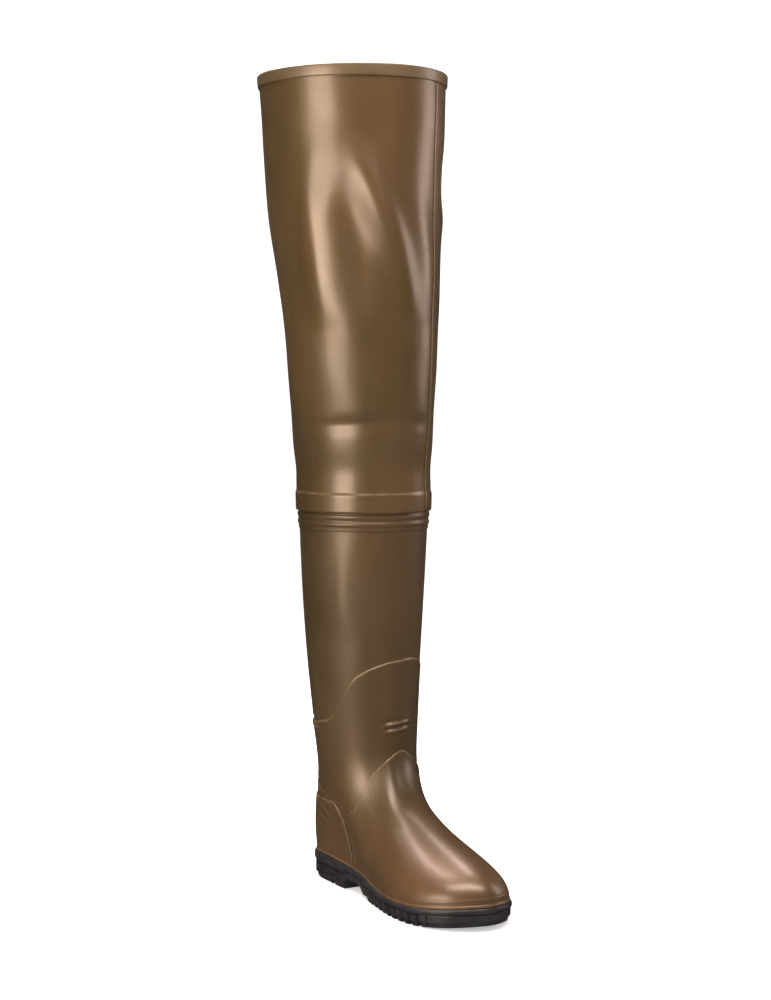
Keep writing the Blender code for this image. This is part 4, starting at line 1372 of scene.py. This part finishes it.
def on_thigh(share, z, lift):
    """Point laid on the thigh piece, with its folds and its sway."""
    points = thigh_point(share, z)
    folds = fold_lift(points, THIGH_FOLDS, thigh_point)
    held = np.clip((z - LAP_HEIGHT) / 0.03, 0, 1) * np.clip((BOOT_HEIGHT - BINDING_DROP - z) / 0.04, 0, 1)
    return laid_on(thigh_point, share, z, folds * held + thigh_sway(share, z) + lift)


def cuff_lift(z):
    """The lap stands a little proud, with a rounded upper edge and a slack waist above it."""
    cuff = CUFF_PROUD / (1 + np.exp((z - CUFF_TOP) / 0.0007))
    waist = -WAIST_DEPTH * hump(z, WAIST_HEIGHT, 0.016)
    hem = -HEM_DEPTH * np.clip(1 - (z - LAP_SEAM) / HEM_RISE, 0, 1)
    return cuff + waist + hem


def place_thigh(a, b):
    """Tube with a fifth of its rows in the lap, whose upper edge is painted paler, as wear and as a painted
    highlight.
    """
    z = np.interp(b, [0.0, 0.20, 1.0], [LAP_SEAM, CUFF_TOP + 0.004, BOOT_HEIGHT])
    return with_rub_and_highlight(on_thigh(even_share(a), z, cuff_lift(z)), 0.45 * hump(z, CUFF_TOP, RUB_AND_HIGHLIGHT_WIDTH))


add_sheet(
    "thigh_tube", 200, 200, place_thigh, (THIGH_RUBBER, LINING), "thigh_shaft", CLOTH,
)

# %% [markdown]
# ## Seam tape
# The tube is closed down its front, on the inner side of the shin line, under a raised tape.

# %% Tape
SEAM_TURN = 36.0
TAPE_COLUMNS = 20
TAPE_EDGE = 0.0012
TAPE_WALL = 0.0005
OVER_LAP = 0.002


def seam_shares():
    """Start and end of the tape round the leg."""
    share = np.linspace(0, 0.5, 721)
    middle = float(np.interp(SEAM_TURN, turn_at(share), share))
    ring = thigh_point(share, BOOT_HEIGHT * 0.75 + 0 * share)
    length = np.concatenate([[0], np.cumsum(np.linalg.norm(np.diff(ring, axis=0), axis=1))])
    at = float(np.interp(middle, share, length))
    return [float(np.interp(at + side * SEAM_WIDTH / 2, length, share)) for side in (-1, 1)]


SEAM_START, SEAM_END = seam_shares()


def place_seam(a, b):
    """Tape from the lap to the binding, rounded off and painted paler along both edges, as wear and as
    painted highlight lines.
    """
    share = SEAM_START + (SEAM_END - SEAM_START) * gather(a, TAPE_COLUMNS, SEAM_WIDTH, TAPE_EDGE)
    low = LAP_SEAM + OVER_LAP
    z = low + (BOOT_HEIGHT - BINDING_DROP - GAP - low) * b
    edge = np.minimum(share - SEAM_START, SEAM_END - share) / (SEAM_END - SEAM_START) * SEAM_WIDTH
    thick = PATCH * 0.8 * np.sqrt(1 - (1 - np.clip(edge / TAPE_EDGE, 0, 1))**2)
    rub_and_highlight = 0.5 * hump(edge, TAPE_EDGE, TAPE_EDGE)
    return with_rub_and_highlight(on_thigh(share, z, cuff_lift(z) + MID_LIFT + thick), rub_and_highlight)


add_sheet(
    "seam_tape", TAPE_COLUMNS, 260, place_seam, (THIGH_RUBBER,), "thigh_seam",
    TAPE_WALL, closed=False,
)

# %% [markdown]
# ## Binding
# A strip of lighter rubber is folded over the top edge. It is swept like the band, round the top
# of the thigh piece, with a rounded fold on top and a pinched lower edge outside.

# %% Folded strip
FOLD_THICK = 0.0015
TOP_CENTRE = (LEG_AXIS.x - 0.0015, -0.0135, 0.0)


def binding_profile():
    """Outward offset and height of the strip's closed section."""
    top = BOOT_HEIGHT + GAP
    low = BOOT_HEIGHT - BINDING_DROP
    half = (low + top) / 2
    outside = GAP + FOLD_THICK
    lining = -CLOTH - GAP
    inside = lining - FOLD_THICK
    centre = (outside + inside) / 2
    radius = (outside - inside) / 2
    foot = [(GAP * 0.3, low + 0.0006), (GAP * 0.6, low), (outside * 0.8, low), (outside, low + 0.0007)]
    arc = [
        (centre + radius * math.cos(t), top - 0.0004 + FOLD_THICK * 1.1 * math.sin(t))
        for t in np.linspace(0, math.pi, 13)
    ]
    back = [(inside, half), (inside, low), (lining, low), (lining, top), (GAP * 0.3, top)]
    return foot + [(outside * 1.08, half)] + arc + back


def binding_spot(share, out, z):
    """Point of the strip, moved outwards in plan from the rim of the thigh piece."""
    base = thigh_point(share, np.minimum(z, BOOT_HEIGHT))
    away = base - np.array(TOP_CENTRE)
    away[:, 2] = 0
    away /= np.linalg.norm(away, axis=1, keepdims=True)
    spot = base + away * out[:, None]
    spot[:, 2] = z
    return spot


add_swept(
    "top_binding", 200, 44, binding_profile(), binding_spot, TRIM_RUBBER,
    "collar_binding",
)
